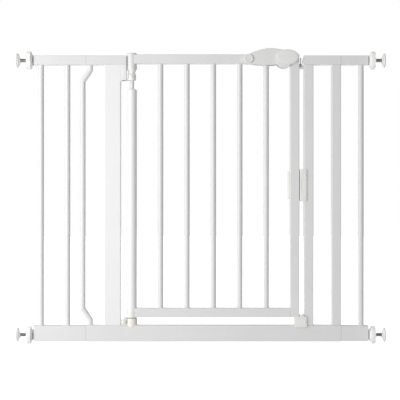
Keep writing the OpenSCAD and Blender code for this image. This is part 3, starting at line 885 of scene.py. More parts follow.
@dataclass
class TubeWork(Assembly):
    """The steel tube of the frame, the extensions and the door, with its welds and joints."""

    bar_r: float = 7.5
    bead: float = 2.4  # reach of a weld bead
    line: float = 0.45  # width of the open joint between two tubes

    COATED = (
        "frame_bottom_rail", "frame_top_rail_left", "frame_top_rail_right", "frame_latch_post",
        "frame_end_post", "left_ext_top_rail", "left_ext_bottom_rail", "right_ext_top_rail",
        "right_ext_bottom_rail", "door_top_rail", "door_bottom_rail", "door_latch_stile",
        "frame_bent_bar", "left_ext_bars", "right_ext_bar", "door_bar_1", "door_bar_2",
        "door_bar_3", "door_bar_4", "door_bar_5", "hinge_spindle",
    )
    # Pieces on the hinge side, given the lighter copy of the coat as painted light.
    PAINTED_LIGHT_COATED = ("frame_hinge_post", "door_hinge_tube")
    PLATED = ("extension_joiners",)
    BRIGHT = ("lever_pin", "latch_spring", "latch_bolt", "lift_rod")

    def build(self) -> None:
        """Dresses the tubes and adds the welds and the joint lines."""
        self.dress(self.COATED, self.finishes.coat)
        self.dress(self.PAINTED_LIGHT_COATED, self.finishes.coat_painted_light)
        self.dress(self.PLATED, self.finishes.zinc)
        self.dress(self.BRIGHT, self.finishes.bright)
        self.weld_bars()
        self.weld_posts()
        self.mark_joints()

    def dress(self, nodes: Sequence[str], finish: Material) -> None:
        """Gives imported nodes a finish.

        Args:
            nodes: The nodes.
            finish: The material.
        """
        for node in nodes:
            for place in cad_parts[node].material_slots:
                place.material = finish
            log.info("%s keeps its shape, in %s", node, finish.name)

    def bead_profile(self) -> Outline:
        """The hollow fillet of a weld round a bar, from the rail up to the bar.

        Returns:
            The fillet's section, as distances from the bar's axis and heights above the rail.
        """
        arc = [
            (self.bar_r + self.bead * (1 - math.sin(a)), self.bead * (1 - math.cos(a)))
            for a in spread(0, math.pi / 2, 6)
        ]
        return [(self.bar_r - 0.5, -0.3), (self.bar_r + self.bead, -0.3), *arc,
                (self.bar_r - 0.5, self.bead)]

    def weld_bars(self) -> None:
        """Puts a bead at both ends of every round bar."""
        master = turned("bar_bead", self.bead_profile(), ORIGIN, closed=True, steps=32)
        settle(master)
        low_rail = node_box("frame_bottom_rail")[1].z
        top_rail = node_box("frame_top_rail_right")[0].z
        ext_low = node_box("left_ext_bottom_rail")[1].z
        door_low = node_box("door_bottom_rail")[1].z
        door_top = node_box("door_top_rail")[0].z
        left_low, left_high = node_box("left_ext_bars")
        right_low, right_high = node_box("right_ext_bar")
        bent_high = node_box("frame_bent_bar")[1].x
        doors = [sum(v.x for v in node_box(f"door_bar_{i}")) / 2 for i in range(1, 6)]
        frames = [
            (left_low.x + self.bar_r, ext_low, top_rail),
            (left_high.x - self.bar_r, ext_low, top_rail),
            ((right_low.x + right_high.x) / 2, ext_low, top_rail),
            (bent_high - self.bar_r, low_rail, top_rail),
        ]
        for name, body, rows in (
            ("frame_bar_welds", "frame", frames),
            ("door_bar_welds", "door", [(x, door_low, door_top) for x in doors]),
        ):
            beads = []
            for x, low, high in rows:
                beads.append(copied(master, "bead", Matrix.Translation(mm(x, 0, low))))
                down = Matrix.Translation(mm(x, 0, high)) @ Matrix.Rotation(math.pi, 4, "X")
                beads.append(copied(master, "bead", down))
            hand_over(joined(name, beads), body, self.finishes.coat)
        bpy.data.objects.remove(master)

    def weld_strip(self, x: float, z: float, side: int, up: int, half_y: float = 10.2) -> Piece:
        """A straight fillet between an upright face and a level one.

        Args:
            x: Place of the upright face.
            z: Height of the level face.
            side: 1 where the fillet lies to the right of the upright face, or -1.
            up: 1 where it lies above the level face, or -1.
            half_y: Half of its length.

        Returns:
            The new piece.
        """
        r = self.bead
        arc = [
            (x + side * r * (1 - math.sin(a)), z + up * r * (1 - math.cos(a)))
            for a in spread(0, math.pi / 2, 6)
        ]
        outline = [(x - side * 0.4, z - up * 0.4), (x + side * r, z - up * 0.4), *arc,
                   (x - side * 0.4, z + up * r)]
        return slab("strip", outline, Plane.XZ, -half_y, half_y)

    def weld_posts(self) -> None:
        """Welds the square posts to the rails."""
        low_rail = node_box("frame_bottom_rail")[1].z
        top_rail = node_box("frame_top_rail_right")[0].z
        strips = []
        for post, sides, tops in (
            ("frame_hinge_post", (-1,), (-1,)),
            ("frame_latch_post", (1,), (1,)),
            ("frame_end_post", (-1, 1), (-1,)),
        ):
            low, high = node_box(post)
            for side in sides:
                strips.append(self.weld_strip(low.x if side < 0 else high.x, low_rail, side, 1))
            for side in tops:
                strips.append(self.weld_strip(low.x if side < 0 else high.x, top_rail, side, -1))
        hand_over(joined("frame_post_welds", strips), "frame", self.finishes.coat)
        stile = node_box("door_latch_stile")[0].x
        tube = node_box("door_hinge_tube")[1].x
        strips = [
            self.weld_strip(stile, node_box("door_bottom_rail")[1].z, -1, 1),
            self.weld_strip(stile, node_box("door_top_rail")[0].z, -1, -1),
            self.weld_strip(tube, node_box("door_bottom_rail")[1].z, 1, 1, 5.0),
        ]
        hand_over(joined("door_corner_welds", strips), "door", self.finishes.coat)

    def mark_joints(self) -> None:
        """Shows the open joint line where each extension meets the main frame, as a thin dark band: painted
        shade for the shadow inside the joint.
        """
        rings = []
        for x, main, ext in (
            (node_box("frame_bottom_rail")[0].x, "frame_bottom_rail", "left_ext_bottom_rail"),
            (node_box("frame_bottom_rail")[1].x, "frame_bottom_rail", "right_ext_bottom_rail"),
            (node_box("frame_bottom_rail")[0].x, "frame_top_rail_left", "left_ext_top_rail"),
            (node_box("frame_bottom_rail")[1].x, "frame_top_rail_right", "right_ext_top_rail"),
        ):
            band = tube_face(ext, 0.04, steps=4)
            rings.append(slab("ring", band, Plane.YZ, x - self.line / 2, x + self.line / 2))
            log.info("joint line between %s and %s", main, ext)
        hand_over(joined("extension_joint_lines", rings), "frame", self.finishes.gap)


@dataclass
class WallFixing(Assembly):
    """A corner's hand wheel, threaded rod, wall cup and rail plug, drawn outwards from the rail's end."""

    rod_r: float = 5.0
    pitch: float = 3.0
    thread_depth: float = 0.9
    lobes: int = 8
    lobe_steps: int = 12
    notch: float = 0.06  # how far the notches reach in, as a share of the radius
    ribs: int = 8
    guide: float = 3.0  # how far the plug's guide stands out of the rail
    pad: float = 2.5  # thickness of the cup's soft face

    CORNERS = (("top_left", -1), ("bottom_left", -1), ("top_right", 1), ("bottom_right", 1))

    def rail_end(self) -> float:
        """How far the rails' ends are from the gate's middle."""
        return node_box("rail_end_plugs")[1].x - self.guide

    def place(self, corner: str, side: int) -> Matrix:
        """Where a piece drawn along +Z from the rail's end goes.

        Args:
            corner: The gate's corner.
            side: -1 on the left, 1 on the right.

        Returns:
            The piece's turn and place.
        """
        low, high = node_box(f"threaded_rod_{corner}")
        end = self.rail_end() * side
        turn = Matrix.Rotation(side * math.pi / 2, 4, "Y")
        return Matrix.Translation(mm(end, 0, (low.z + high.z) / 2)) @ turn

    def build(self) -> None:
        """Models each piece once and copies it to the four corners."""
        masters = {
            "hand_wheel": (self.hand_wheel(), self.finishes.wheel, Slot.WHITE),
            "threaded_rod": (self.threaded_rod(), self.finishes.zinc, Slot.ZINC),
            "wall_cup": (self.wall_cup(), self.finishes.wheel, Slot.WARM),
            "cup_pad": (self.cup_pad(), self.finishes.pad, Slot.WARM),
        }
        for corner, side in self.CORNERS:
            for kind, (master, finish, slot) in masters.items():
                piece = copied(master, f"{kind}_{corner}_detail", self.place(corner, side))
                node = f"{'wall_cup' if kind == 'cup_pad' else kind}_{corner}"
                body = f"hand_wheel_{corner}" if kind == "hand_wheel" else f"wall_cup_{corner}"
                hand_over(piece, body, finish, [node])
            self.rail_plug(corner, side)
        for master, _, _ in masters.values():
            bpy.data.objects.remove(master)

    def reach(self, node: str) -> tuple[float, float, float]:
        """Measures a right-hand node outwards from the rail's end.

        Args:
            node: The node.

        Returns:
            Where it starts, where it ends, and its radius.
        """
        low, high = node_box(node)
        end = self.rail_end()
        return low.x - end, high.x - end, (high.y - low.y) / 2

    def hand_wheel(self) -> Piece:
        """A lobed wheel: its section is turned, then the notches between the lobes are pulled in.

        Returns:
            The wheel.
        """
        start, end, radius = self.reach("hand_wheel_top_right")
        count = self.lobes * self.lobe_steps
        bore = self.rod_r + 0.12
        outline = rounded(
            [
                (bore, start, 0), (14.2, start, 0.5), (17.4, start + 2.6, 0.6),
                (15.2, start + 3.0, 0.3), (15.2, start + 4.6, 0.3), (radius, start + 5.0, 0.7),
                (radius, end - 0.2, 1.4), (radius - 5.0, end, 0.8),
                (radius - 6.6, end - 3.2, 0.8), (10.6, end - 3.2, 0.8), (9.6, end, 0.8),
                (bore, end, 0),
            ],
            steps=4,
        )
        wheel = turned("wheel_master", outline, ORIGIN, closed=True, steps=count)
        with editing(wheel):
            for step in range(self.lobe_steps):
                share = 0.5 - 0.5 * math.cos(math.tau * step / self.lobe_steps)
                pull = 1 - self.notch * share**2.5
                if share < 0.05:
                    continue

                def in_notch(middle: Vector, _: Vector, step: int = step) -> bool:
                    """Tells whether a corner of the rim lies at this step of a notch.

                    Args:
                        middle: The corner's place, in millimetres.
                        step: The step, counted from the middle of a lobe.

                    Returns:
                        Whether it does.
                    """
                    turn = math.atan2(middle.y, middle.x) / math.tau * count
                    return (
                        math.hypot(middle.x, middle.y) > radius - 4.4
                        and middle.z < end - 0.9
                        and round(turn) % self.lobe_steps == step
                    )

                pick(Part.CORNERS, in_notch)
                bpy.ops.transform.resize(value=(pull, pull, 1), center_override=(0, 0, 0))
        settle(wheel)
        return wheel

    def threaded_rod(self) -> Piece:
        """A rolled trapezoidal thread, drawn as one tooth and carried along its helix.

        Returns:
            The rod.
        """
        start, end, _ = self.reach("threaded_rod_top_right")
        root = self.rod_r - self.thread_depth
        p = self.pitch
        turns = math.ceil((end - start) / p) + 2
        z = start - p
        tooth = [(root, z), (root, z + 0.22 * p), (self.rod_r, z + 0.42 * p),
                 (self.rod_r, z + 0.74 * p), (root, z + 0.94 * p), (root, z + p)]
        rod = draw_line("rod_master", [Vector((r, 0, h)) for r, h in tooth])
        settle(rod)
        bpy.ops.object.modifier_add(type="SCREW")
        screw = rod.modifiers[-1]
        screw.angle, screw.screw_offset, screw.iterations = math.tau, p * MM, turns
        screw.steps = screw.render_steps = 28
        screw.use_merge_vertices, screw.merge_threshold = True, 2e-6
        bpy.ops.object.modifier_apply(modifier=screw.name)
        close_up(rod)
        slice_off(rod, Vector((0, 0, start)), Vector((0, 0, -1)))
        slice_off(rod, Vector((0, 0, end - 0.2)), Vector((0, 0, 1)))
        close_up(rod)
        return rod

    def wall_cup(self) -> Piece:
        """A cup that flares from the rod to the wall, with thin ribs behind its disc.

        Returns:
            The cup.
        """
        start, end, radius = self.reach("wall_cup_top_right")
        back = end - self.pad
        outline = rounded(
            [
                (0, start + 6.5, 0), (self.rod_r - 0.2, start + 6.5, 0), (self.rod_r - 0.2, start + 0.1, 0),
                (self.rod_r + 2.4, start + 0.1, 0.6), (self.rod_r + 3.0, start + 2.4, 1.6),
                (radius - 3.0, back - 2.4, 1.2), (radius - 0.1, back - 1.4, 0.7),
                (radius - 0.1, back, 0.3), (0, back, 0),
            ],
            closed=False, steps=4,
        )
        cup = turned("cup_master", outline, ORIGIN)
        rib_outline = [
            (self.rod_r + 1.5, start + 1.2), (self.rod_r + 2.6, start + 1.2),
            (radius - 2.2, back - 1.9), (radius - 2.2, back - 1.0),
            (self.rod_r + 1.5, back - 1.0),
        ]
        rib = slab("rib", rib_outline, Plane.XZ, -0.7, 0.7, rim=0.3)
        settle(rib)
        ribs = [
            copied(rib, "rib", Matrix.Rotation(math.tau * (i + 0.5) / self.ribs, 4, "Z"))
            for i in range(self.ribs)
        ]
        bpy.data.objects.remove(rib)
        return joined("cup_master", [cup, *ribs])

    def cup_pad(self) -> Piece:
        """The soft face of a cup: a ring with two grip grooves and a shallow middle.

        Returns:
            The pad.
        """
        _, end, radius = self.reach("wall_cup_top_right")
        back = end - self.pad
        rim = [(0, back, 0), (radius - 0.6, back, 0), (radius, back + 0.7, 0.4),
               (radius, end - 0.3, 0.6)]
        grooves: list[tuple[float, float, float]] = []
        for r in (radius - 3.2, radius - 7.0):
            grooves += [(r + 0.8, end, 0.25), (r + 0.4, end - 0.7, 0.15), (r - 0.4, end - 0.7, 0.15),
                        (r - 0.8, end, 0.25)]
        middle = [(radius - 10.0, end, 0.5), (radius - 11.0, end - 1.1, 0.5), (0, end - 1.1, 0)]
        outline = rounded([*rim, *grooves, *middle], closed=False, steps=3)
        pad = turned("pad_master", outline, ORIGIN)
        settle(pad)
        return pad

    def rail_plug(self, corner: str, side: int) -> None:
        """The flanged plug in a rail's outer end, its raised guide and the washer round that; the washer's
        dark grey is painted shade for the shadowed gap between the rail's end and the wheel.

        Args:
            corner: The gate's corner.
            side: -1 on the left, 1 on the right.
        """
        rail = {"top_left": "left_ext_top_rail", "bottom_left": "left_ext_bottom_rail",
                "top_right": "right_ext_top_rail", "bottom_right": "right_ext_bottom_rail"}[corner]
        end = node_box(rail)[1 if side > 0 else 0].x
        rod = node_box(f"threaded_rod_{corner}")
        middle, outwards = Vector((end, 0, (rod[0].z + rod[1].z) / 2)), Vector((side, 0, 0))
        flange = slab("flange", tube_face(rail, -0.1), Plane.YZ, end, end + side * 1.0, rim=0.4)
        guide = turned(
            "guide",
            rounded([(self.rod_r + 0.1, 0, 0), (8.6, 0, 0), (8.2, 2.9, 0.6), (self.rod_r + 0.1, 2.9, 0.3)]),
            middle, outwards, closed=True, steps=40,
        )
        plug = joined(f"rail_plug_{corner}_detail", [flange, guide])
        hand_over(plug, "frame", self.finishes.white, ["rail_end_plugs"])
        washer = turned(
            f"rail_plug_{corner}_washer",
            rounded([(8.7, 1.1, 0.2), (12.4, 1.1, 0.3), (12.4, 3.0, 0.5), (8.7, 3.0, 0.3)]),
            middle, outwards, closed=True, steps=56,
        )
        hand_over(washer, "frame", self.finishes.rubber, ["rail_end_plugs"])


@dataclass
class Hinge(Assembly):
    """The rising hinge: bracket, cams, knuckle, tube shoulder, collar, socket and strap."""

    bore: float = 6.05
    cam_r: float = 11.0
    cam_rise: float = 7.0
    cam_space: float = 0.9
    cam_over: float = 17.0  # from the cams' middle up to the knuckle

    def __post_init__(self) -> None:
        """Reads the hinge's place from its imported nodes."""
        low, high = node_box("door_top_knuckle")
        self.x = (low.x + high.x) / 2
        self.r = (high.x - low.x) / 2
        self.knuckle = (low.z, high.z)
        self.cam_z = low.z - self.cam_over
        slant = math.atan2(self.cam_rise, self.cam_r)
        self.slant = Vector((math.sin(slant), 0, math.cos(slant)))

    def ring(self, name: str, corners: Corners, steps: int = 4) -> Piece:
        """A ring round the hinge's axis, from corners with radii and heights."""
        return turned(name, rounded(corners, steps=steps), Vector((self.x, 0, 0)), closed=True)

    def build(self) -> None:
        """Models the hinge from top to bottom."""
        self.top_knuckle()
        self.cams()
        self.upper_bracket()
        self.tube_ends()
        self.lower_socket()
        self.lower_strap()

    def top_knuckle(self) -> None:
        """The domed sleeve on the door's top rail."""
        low, high = self.knuckle
        knuckle = self.ring(
            "door_top_knuckle_detail",
            [(self.bore, low, 0), (self.r, low, 0.6), (self.r, high - 0.6, 2.6),
             (self.r - 5, high, 2.0), (0.3, high, 0), (0.3, high - 3, 0), (self.bore, high - 3, 0)],
            steps=5,
        )
        hand_over(knuckle, "door", self.finishes.coat, ["door_top_knuckle"])

    def cams(self) -> None:
        """The two slanted cams that lift the door as it opens."""
        low, _ = self.knuckle
        door = self.ring(
            "door_cam_detail",
            [(self.bore, self.cam_z - self.cam_rise, 0), (self.cam_r, self.cam_z - self.cam_rise, 0),
             (self.cam_r, low - 13.5, 0.9), (7.8, low - 10.5, 1.6), (self.r - 0.3, low - 1, 0.4),
             (self.r - 0.3, low, 0), (self.bore, low, 0)],
        )
        settle(door)
        slice_off(door, Vector((self.x, 0, self.cam_z + self.cam_space)), -self.slant)
        close_up(door)
        soften(door, 0.35)
        hand_over(door, "door", self.finishes.white, ["door_cam"])
        foot = node_box("hinge_fixed_cam")[0].z
        fixed = self.ring(
            "hinge_fixed_cam_detail",
            [(self.bore, foot, 0), (self.cam_r, foot, 0), (self.cam_r, self.cam_z + 9, 0),
             (self.bore, self.cam_z + 9, 0)],
        )
        settle(fixed)
        slice_off(fixed, Vector((self.x, 0, self.cam_z)), self.slant)
        close_up(fixed)
        soften(fixed, 0.35)
        hand_over(fixed, "frame", self.finishes.white, ["hinge_fixed_cam"])

    def upper_bracket(self) -> None:
        """The plate on the wide post and the arm that holds the hinge's top."""
        low, high = node_box("hinge_upper_bracket")
        arm_top = node_box("hinge_fixed_cam")[0].z
        edge = self.x - self.r - 1.0
        plate = rounded(
            [(low.x - 0.6, high.z - 0.1, 0), (low.x - 0.6, low.z - 5.0, 0), (low.x + 0.1, low.z - 5.0, 0),
             (low.x + 0.1, low.z, 4.0), (edge - 0.5, low.z, 0), (edge, arm_top, 1.6), (edge, high.z - 0.1, 0)]
        )
        plate_piece = slab("plate", plate, Plane.XZ, -12.4, 12.4, rim=0.8)
        arm = rounded(
            [(low.x + 0.4, -8.0, 0), (self.x, -8.0, 0), (self.x, 8.0, 0), (low.x + 0.4, 8.0, 0)]
        )
        arm_piece = slab("arm", arm, Plane.XY, low.z, arm_top, rim=0.7)
        boss = self.ring(
            "boss",
            [(self.bore, low.z, 0), (self.cam_r, low.z, 0.8), (self.cam_r, arm_top, 0.5),
             (self.bore, arm_top, 0)],
        )
        bracket = joined("hinge_upper_bracket_detail", [plate_piece, arm_piece, boss])
        hand_over(bracket, "frame", self.finishes.coat_painted_light, ["hinge_upper_bracket"])

    def tube_ends(self) -> None:
        """The shoulder at the hinge tube's top and the collar at its foot."""
        tube = node_box("door_hinge_tube")
        high = node_box("hinge_tube_cap")[1].z
        cap = self.ring(
            "hinge_tube_cap_detail",
            [(self.bore, tube[1].z - 8, 0), (self.r - 1.4, tube[1].z - 8, 0),
             (self.r - 1.4, tube[1].z, 0), (self.r, tube[1].z, 0), (self.r, high - 0.3, 4.6),
             (8.5, high, 1.2), (self.bore, high, 0)],
            steps=7,
        )
        hand_over(cap, "door", self.finishes.coat_painted_light, ["hinge_tube_cap"])
        low = node_box("hinge_tube_collar")[0].z
        radius = self.r + 1.3
        collar = self.ring(
            "hinge_tube_collar_detail",
            [(self.bore, low, 0), (radius - 0.4, low, 0.7), (radius, low + 3, 1.0),
             (radius, tube[0].z, 1.2), (self.r + 0.05, tube[0].z, 0), (self.r + 0.05, tube[0].z - 0.4, 0),
             (self.bore, tube[0].z - 0.4, 0)],
        )
        hand_over(collar, "door", self.finishes.white, ["hinge_tube_collar"])

    def lower_socket(self) -> None:
        """The round socket over the bottom rail, rounded at its foot."""
        low, high = node_box("hinge_lower_socket")
        radius = (high.x - low.x) / 2
        socket = self.ring(
            "hinge_lower_socket_detail",
            [(0.3, low.z, 0), (radius - 0.6, low.z, 1.2), (radius, high.z, 1.4),
             (radius - 3.0, high.z, 0.5), (radius - 3.6, high.z - 1.0, 0.4),
             (self.bore, high.z - 1.0, 0), (self.bore, high.z - 16, 0), (0.3, high.z - 16, 0)],
        )
        hand_over(socket, "frame", self.finishes.warm, ["hinge_lower_socket"])

    def lower_strap(self) -> None:
        """The strap from the socket to the wide post, with its round boss in front."""
        low, high = node_box("hinge_lower_bracket")
        strap_outline = rounded(
            [(low.x - 0.5, low.z + 0.2, 0), (high.x, low.z + 0.2, 0), (high.x, high.z - 1, 1.5),
             (low.x + 9, high.z - 1, 8.0), (low.x - 0.5, high.z - 9, 0)]
        )
        strap = slab("strap", strap_outline, Plane.XZ, -10, 10, rim=1.2)
        boss = turned(
            "strap_boss",
            rounded([(0, -10, 0), (6.9, -10, 0), (6.9, -13.4, 1.6), (4.4, -14.0, 0.5), (0, -14.0, 0)],
                    closed=False),
            Vector((low.x + STRAP_BOSS[0], 0, low.z + STRAP_BOSS[1])), Vector((0, 1, 0)), steps=40,
        )
        bracket = joined("hinge_lower_bracket_detail", [strap, boss])
        hand_over(bracket, "frame", self.finishes.white, ["hinge_lower_bracket"])


@dataclass
class LatchHandle(Assembly):
    """The lift lever with its thumb slide and pin covers, and the oval latch housing."""

    boss_r: float = 12.5
    lens_dx: float = 61.2  # from the pin to where the lever stands highest
    lens_r: float = 126.4
    low_dx: float = 49.2  # from the pin to where it hangs lowest
    low_r: float = 237.0
    end_dx: float = 93.2
    tip_dx: float = 16.5  # from the pin to where the rounded tip starts
    wall: tuple[float, float] = (12.9, 15.4)
    oval: tuple[float, float] = (30.9, 20.3)
    bulge: tuple[float, float] = (21.0, 19.0)
    bulge_dx: float = 24.0  # from the housing's left end to the bulge's middle
    shell: tuple[float, float] = (15.8, 20.3)
    crown: float = 1.0  # from the housing's flat face out to the top of its badge
    badge_inset: float = 2.6  # from the housing's outline in to the badge's
    opening_dx: float = 99.2  # from the pin to the right side of the lever's opening in the shell
    tips_dx: float = 123.0  # from the pin to the ends of the lever's two tips
    cross_dz: float = 14.5  # from the bolt's lowest point up to its cross pin

    def __post_init__(self) -> None:
        """Reads the handle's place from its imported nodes."""
        pin = node_box("lever_pin")
        self.x, self.z = (pin[0].x + pin[1].x) / 2, (pin[0].z + pin[1].z) / 2
        low, high = node_box("lift_lever")
        self.lens = (self.x + self.lens_dx, high.z - self.lens_r)
        self.belly = (self.x + self.low_dx, low.z + self.low_r)
        low, high = node_box("latch_housing_front")
        self.end = high.x
        self.middle = (high.x - self.oval[0], high.z - self.oval[1])
        self.bulge_middle = (low.x + self.bulge_dx, low.z + self.bulge[1])

    def build(self) -> None:
        """Models the handle's pieces."""
        self.lever()
        self.thumb_slide()
        self.pin_covers()
        self.housing()

    def lever_outline(self) -> Outline:
        """The lever from the front: two long arcs that run into a rounded tip beyond the pin.

        Returns:
            The outline, on the front plane.
        """
        tip = self.x - self.tip_dx
        top = [(x, arc_top(self.lens, self.lens_r, x)) for x in spread(tip, self.x + self.end_dx, 38)]
        low = [(x, arc_low(self.belly, self.low_r, x)) for x in spread(self.x + self.end_dx, tip, 34)]
        radius = (top[0][1] - low[-1][1]) / 2
        middle = (top[0][1] + low[-1][1]) / 2
        round_end = [(tip - radius * math.cos(a), middle + radius * math.sin(a))
                     for a in spread(-math.pi / 2, math.pi / 2, 12)[1:-1]]
        return [*top, *low, *round_end]

    def lever(self) -> None:
        """A channel over the door's top rail, closed on top, with a slot for the thumb slide."""
        rail_top = node_box("door_top_rail")[1].z + 0.4
        lever = slab("lever", self.lever_outline(), Plane.XZ, -self.wall[1], self.wall[1], rim=1.5)
        settle(lever)
        inner = self.lens_r - 2.5
        left = self.x - 18
        roof = [(x, max(rail_top, arc_top(self.lens, inner, x)))
                for x in spread(self.x + 4, self.x + self.end_dx + 4, 30)]
        channel = [(left, rail_top - 60), (self.x + self.end_dx + 4, rail_top - 60), *reversed(roof),
                   (left, rail_top)]
        carve(lever, slab("channel", channel, Plane.XZ, -self.wall[0], self.wall[0]))
        slide = node_box("thumb_slide")
        carve(lever, block("slot", Vector((slide[0].x - 9, -6.4, slide[1].z - 9)),
                           Vector((slide[1].x + 1, 6.4, slide[1].z + 6)), radius=0))
        cross_z = node_box("latch_bolt")[0].z + self.cross_dz
        tips = [
            block("tip", Vector((self.x + self.end_dx - 2, y, cross_z - 1.8)),
                  Vector((self.x + self.tips_dx, y + 2.5, cross_z + 3.8)), radius=0.6)
            for y in (-self.wall[1], self.wall[0])
        ]
        hand_over(joined("lift_lever_detail", [lever, *tips]), "lift_lever", self.finishes.handle,
                  ["lift_lever"])

    def thumb_slide(self) -> None:
        """A ribbed button that slides in the lever's top."""
        low, high = node_box("thumb_slide")
        top = high.z - 0.8
        button = block("button", Vector((low.x, -6, top - 9)), Vector((high.x, 6, top)), radius=0.7)
        foot = block("foot", Vector((low.x, low.y, low.z)), Vector((high.x, high.y, low.z + 2)), radius=0.4)
        ribs = [
            block("rib", Vector((low.x + 4 * i, -5, top - 0.4)), Vector((low.x + 4 * i + 1.4, 5, high.z)),
                  radius=0.35)
            for i in range(1, 6)
        ]
        hand_over(joined("thumb_slide_detail", [button, foot, *ribs]), "thumb_slide",
                  self.finishes.white, ["thumb_slide"])

    def pin_covers(self) -> None:
        """Round caps over the lever's pin, with a dished face inside a raised ring."""
        r = self.boss_r
        profile = rounded(
            [(0, self.wall[1] + 0.4, 0), (r, self.wall[1] + 0.4, 0.2), (r, 18.4, 0.8), (r - 1.6, 19.4, 0.6),
             (r - 3.4, 19.4, 0.5), (r - 4.2, 18.7, 0.5), (0, 18.9, 0)],
            closed=False,
        )
        caps = [
            turned("cap", profile, Vector((self.x, 0, self.z)), Vector((0, way, 0))) for way in (-1, 1)
        ]
        hand_over(joined("lever_pin_covers_detail", caps), "door", self.finishes.handle,
                  ["lever_pin_covers"])

    def housing_outline(self, inset: float = 0.0, count: int = 96) -> Outline:
        """The housing from the front: an oval and a smaller one low on its left.

        Args:
            inset: How far the outline is drawn in.
            count: Its points.

        Returns:
            The outline, on the front plane.
        """
        a, b = self.oval[0] - inset, self.oval[1] - inset
        c, d = self.bulge[0] - inset, self.bulge[1] - inset
        dx, dz = self.bulge_middle[0] - self.middle[0], self.bulge_middle[1] - self.middle[1]
        points = []
        for angle in (math.tau * i / count for i in range(count)):
            u, v = math.cos(angle), math.sin(angle)
            far = 1 / math.hypot(u / a, v / b)
            qa = (u / c) ** 2 + (v / d) ** 2
            qb = -2 * (u * dx / c**2 + v * dz / d**2)
            qc = (dx / c) ** 2 + (dz / d) ** 2 - 1
            inside = qb * qb - 4 * qa * qc
            if inside > 0:
                far = max(far, (-qb + math.sqrt(inside)) / (2 * qa))
            x = self.middle[0] + far * u
            z = self.middle[1] + far * v
            limit = self.end - inset
            if x > limit:
                z = self.middle[1] + (z - self.middle[1]) * (limit - self.middle[0]) / (x - self.middle[0])
                x = limit
            points.append((x, z))
        return points

    def half(self, name: str, way: int) -> Piece:
        """One half of the housing's shell, rounded outside and hollow inside.

        Args:
            name: The piece's name.
            way: -1 for the front half, 1 for the rear half.

        Returns:
            The new piece.
        """
        inner, outer = self.shell
        face = outer - self.crown
        shell = slab(name, self.housing_outline(), Plane.XZ, way * TUBE_HALF, way * face, rim=0)
        settle(shell)
        round_rim(shell, Vector((0, 1, 0)), (way * face,), 1.6, segments=4)
        hollow = slab("hollow", self.housing_outline(2.5), Plane.XZ, way * 11.0, way * inner)
        carve(shell, hollow)
        near, far = sorted((way * 11.0, way * inner))
        opening = block("opening", Vector((self.middle[0] - 60, near, 700)),
                        Vector((self.x + self.opening_dx, far, 820)), radius=0)
        carve(shell, opening)
        return shell

    def badge(self, way: int) -> Piece:
        """The plain raised oval on the housing's face, crowned, with a soft edge.

        Args:
            way: -1 for the front half's, 1 for the rear half's.

        Returns:
            The new piece.
        """
        a, b = self.oval[0] - self.badge_inset, self.oval[1] - self.badge_inset
        outline = [(self.middle[0] + a * math.cos(angle), self.middle[1] + b * math.sin(angle))
                   for angle in (math.tau * i / 96 for i in range(96))]
        face = self.shell[1] - self.crown - 0.05
        plate = slab("badge", outline, Plane.XZ, way * (face - 0.6), way * (face + 0.45))
        settle(plate)
        centre = mm(self.middle[0], way * face, self.middle[1])
        with editing(plate):
            pick(Part.FACES, lambda middle, normal: normal.y * way > 0.9)
            for scale, rise in ((0.985, 0.2), (0.955, 0.16), (0.8, 0.14), (0.5, 0.08)):
                push_out(Vector((0, way * rise, 0)))
                bpy.ops.transform.resize(value=(scale, 1, scale), center_override=centre)
        return plate

    def housing(self) -> None:
        """The two halves and the plain ovals on their faces."""
        for node, way in (("latch_housing_front", -1), ("latch_housing_rear", 1)):
            hand_over(self.half(f"{node}_detail", way), "door", self.finishes.handle, [node])
            badge = self.badge(way)
            badge.name = f"{node}_oval"
            hand_over(badge, "door", self.finishes.badge, [node])


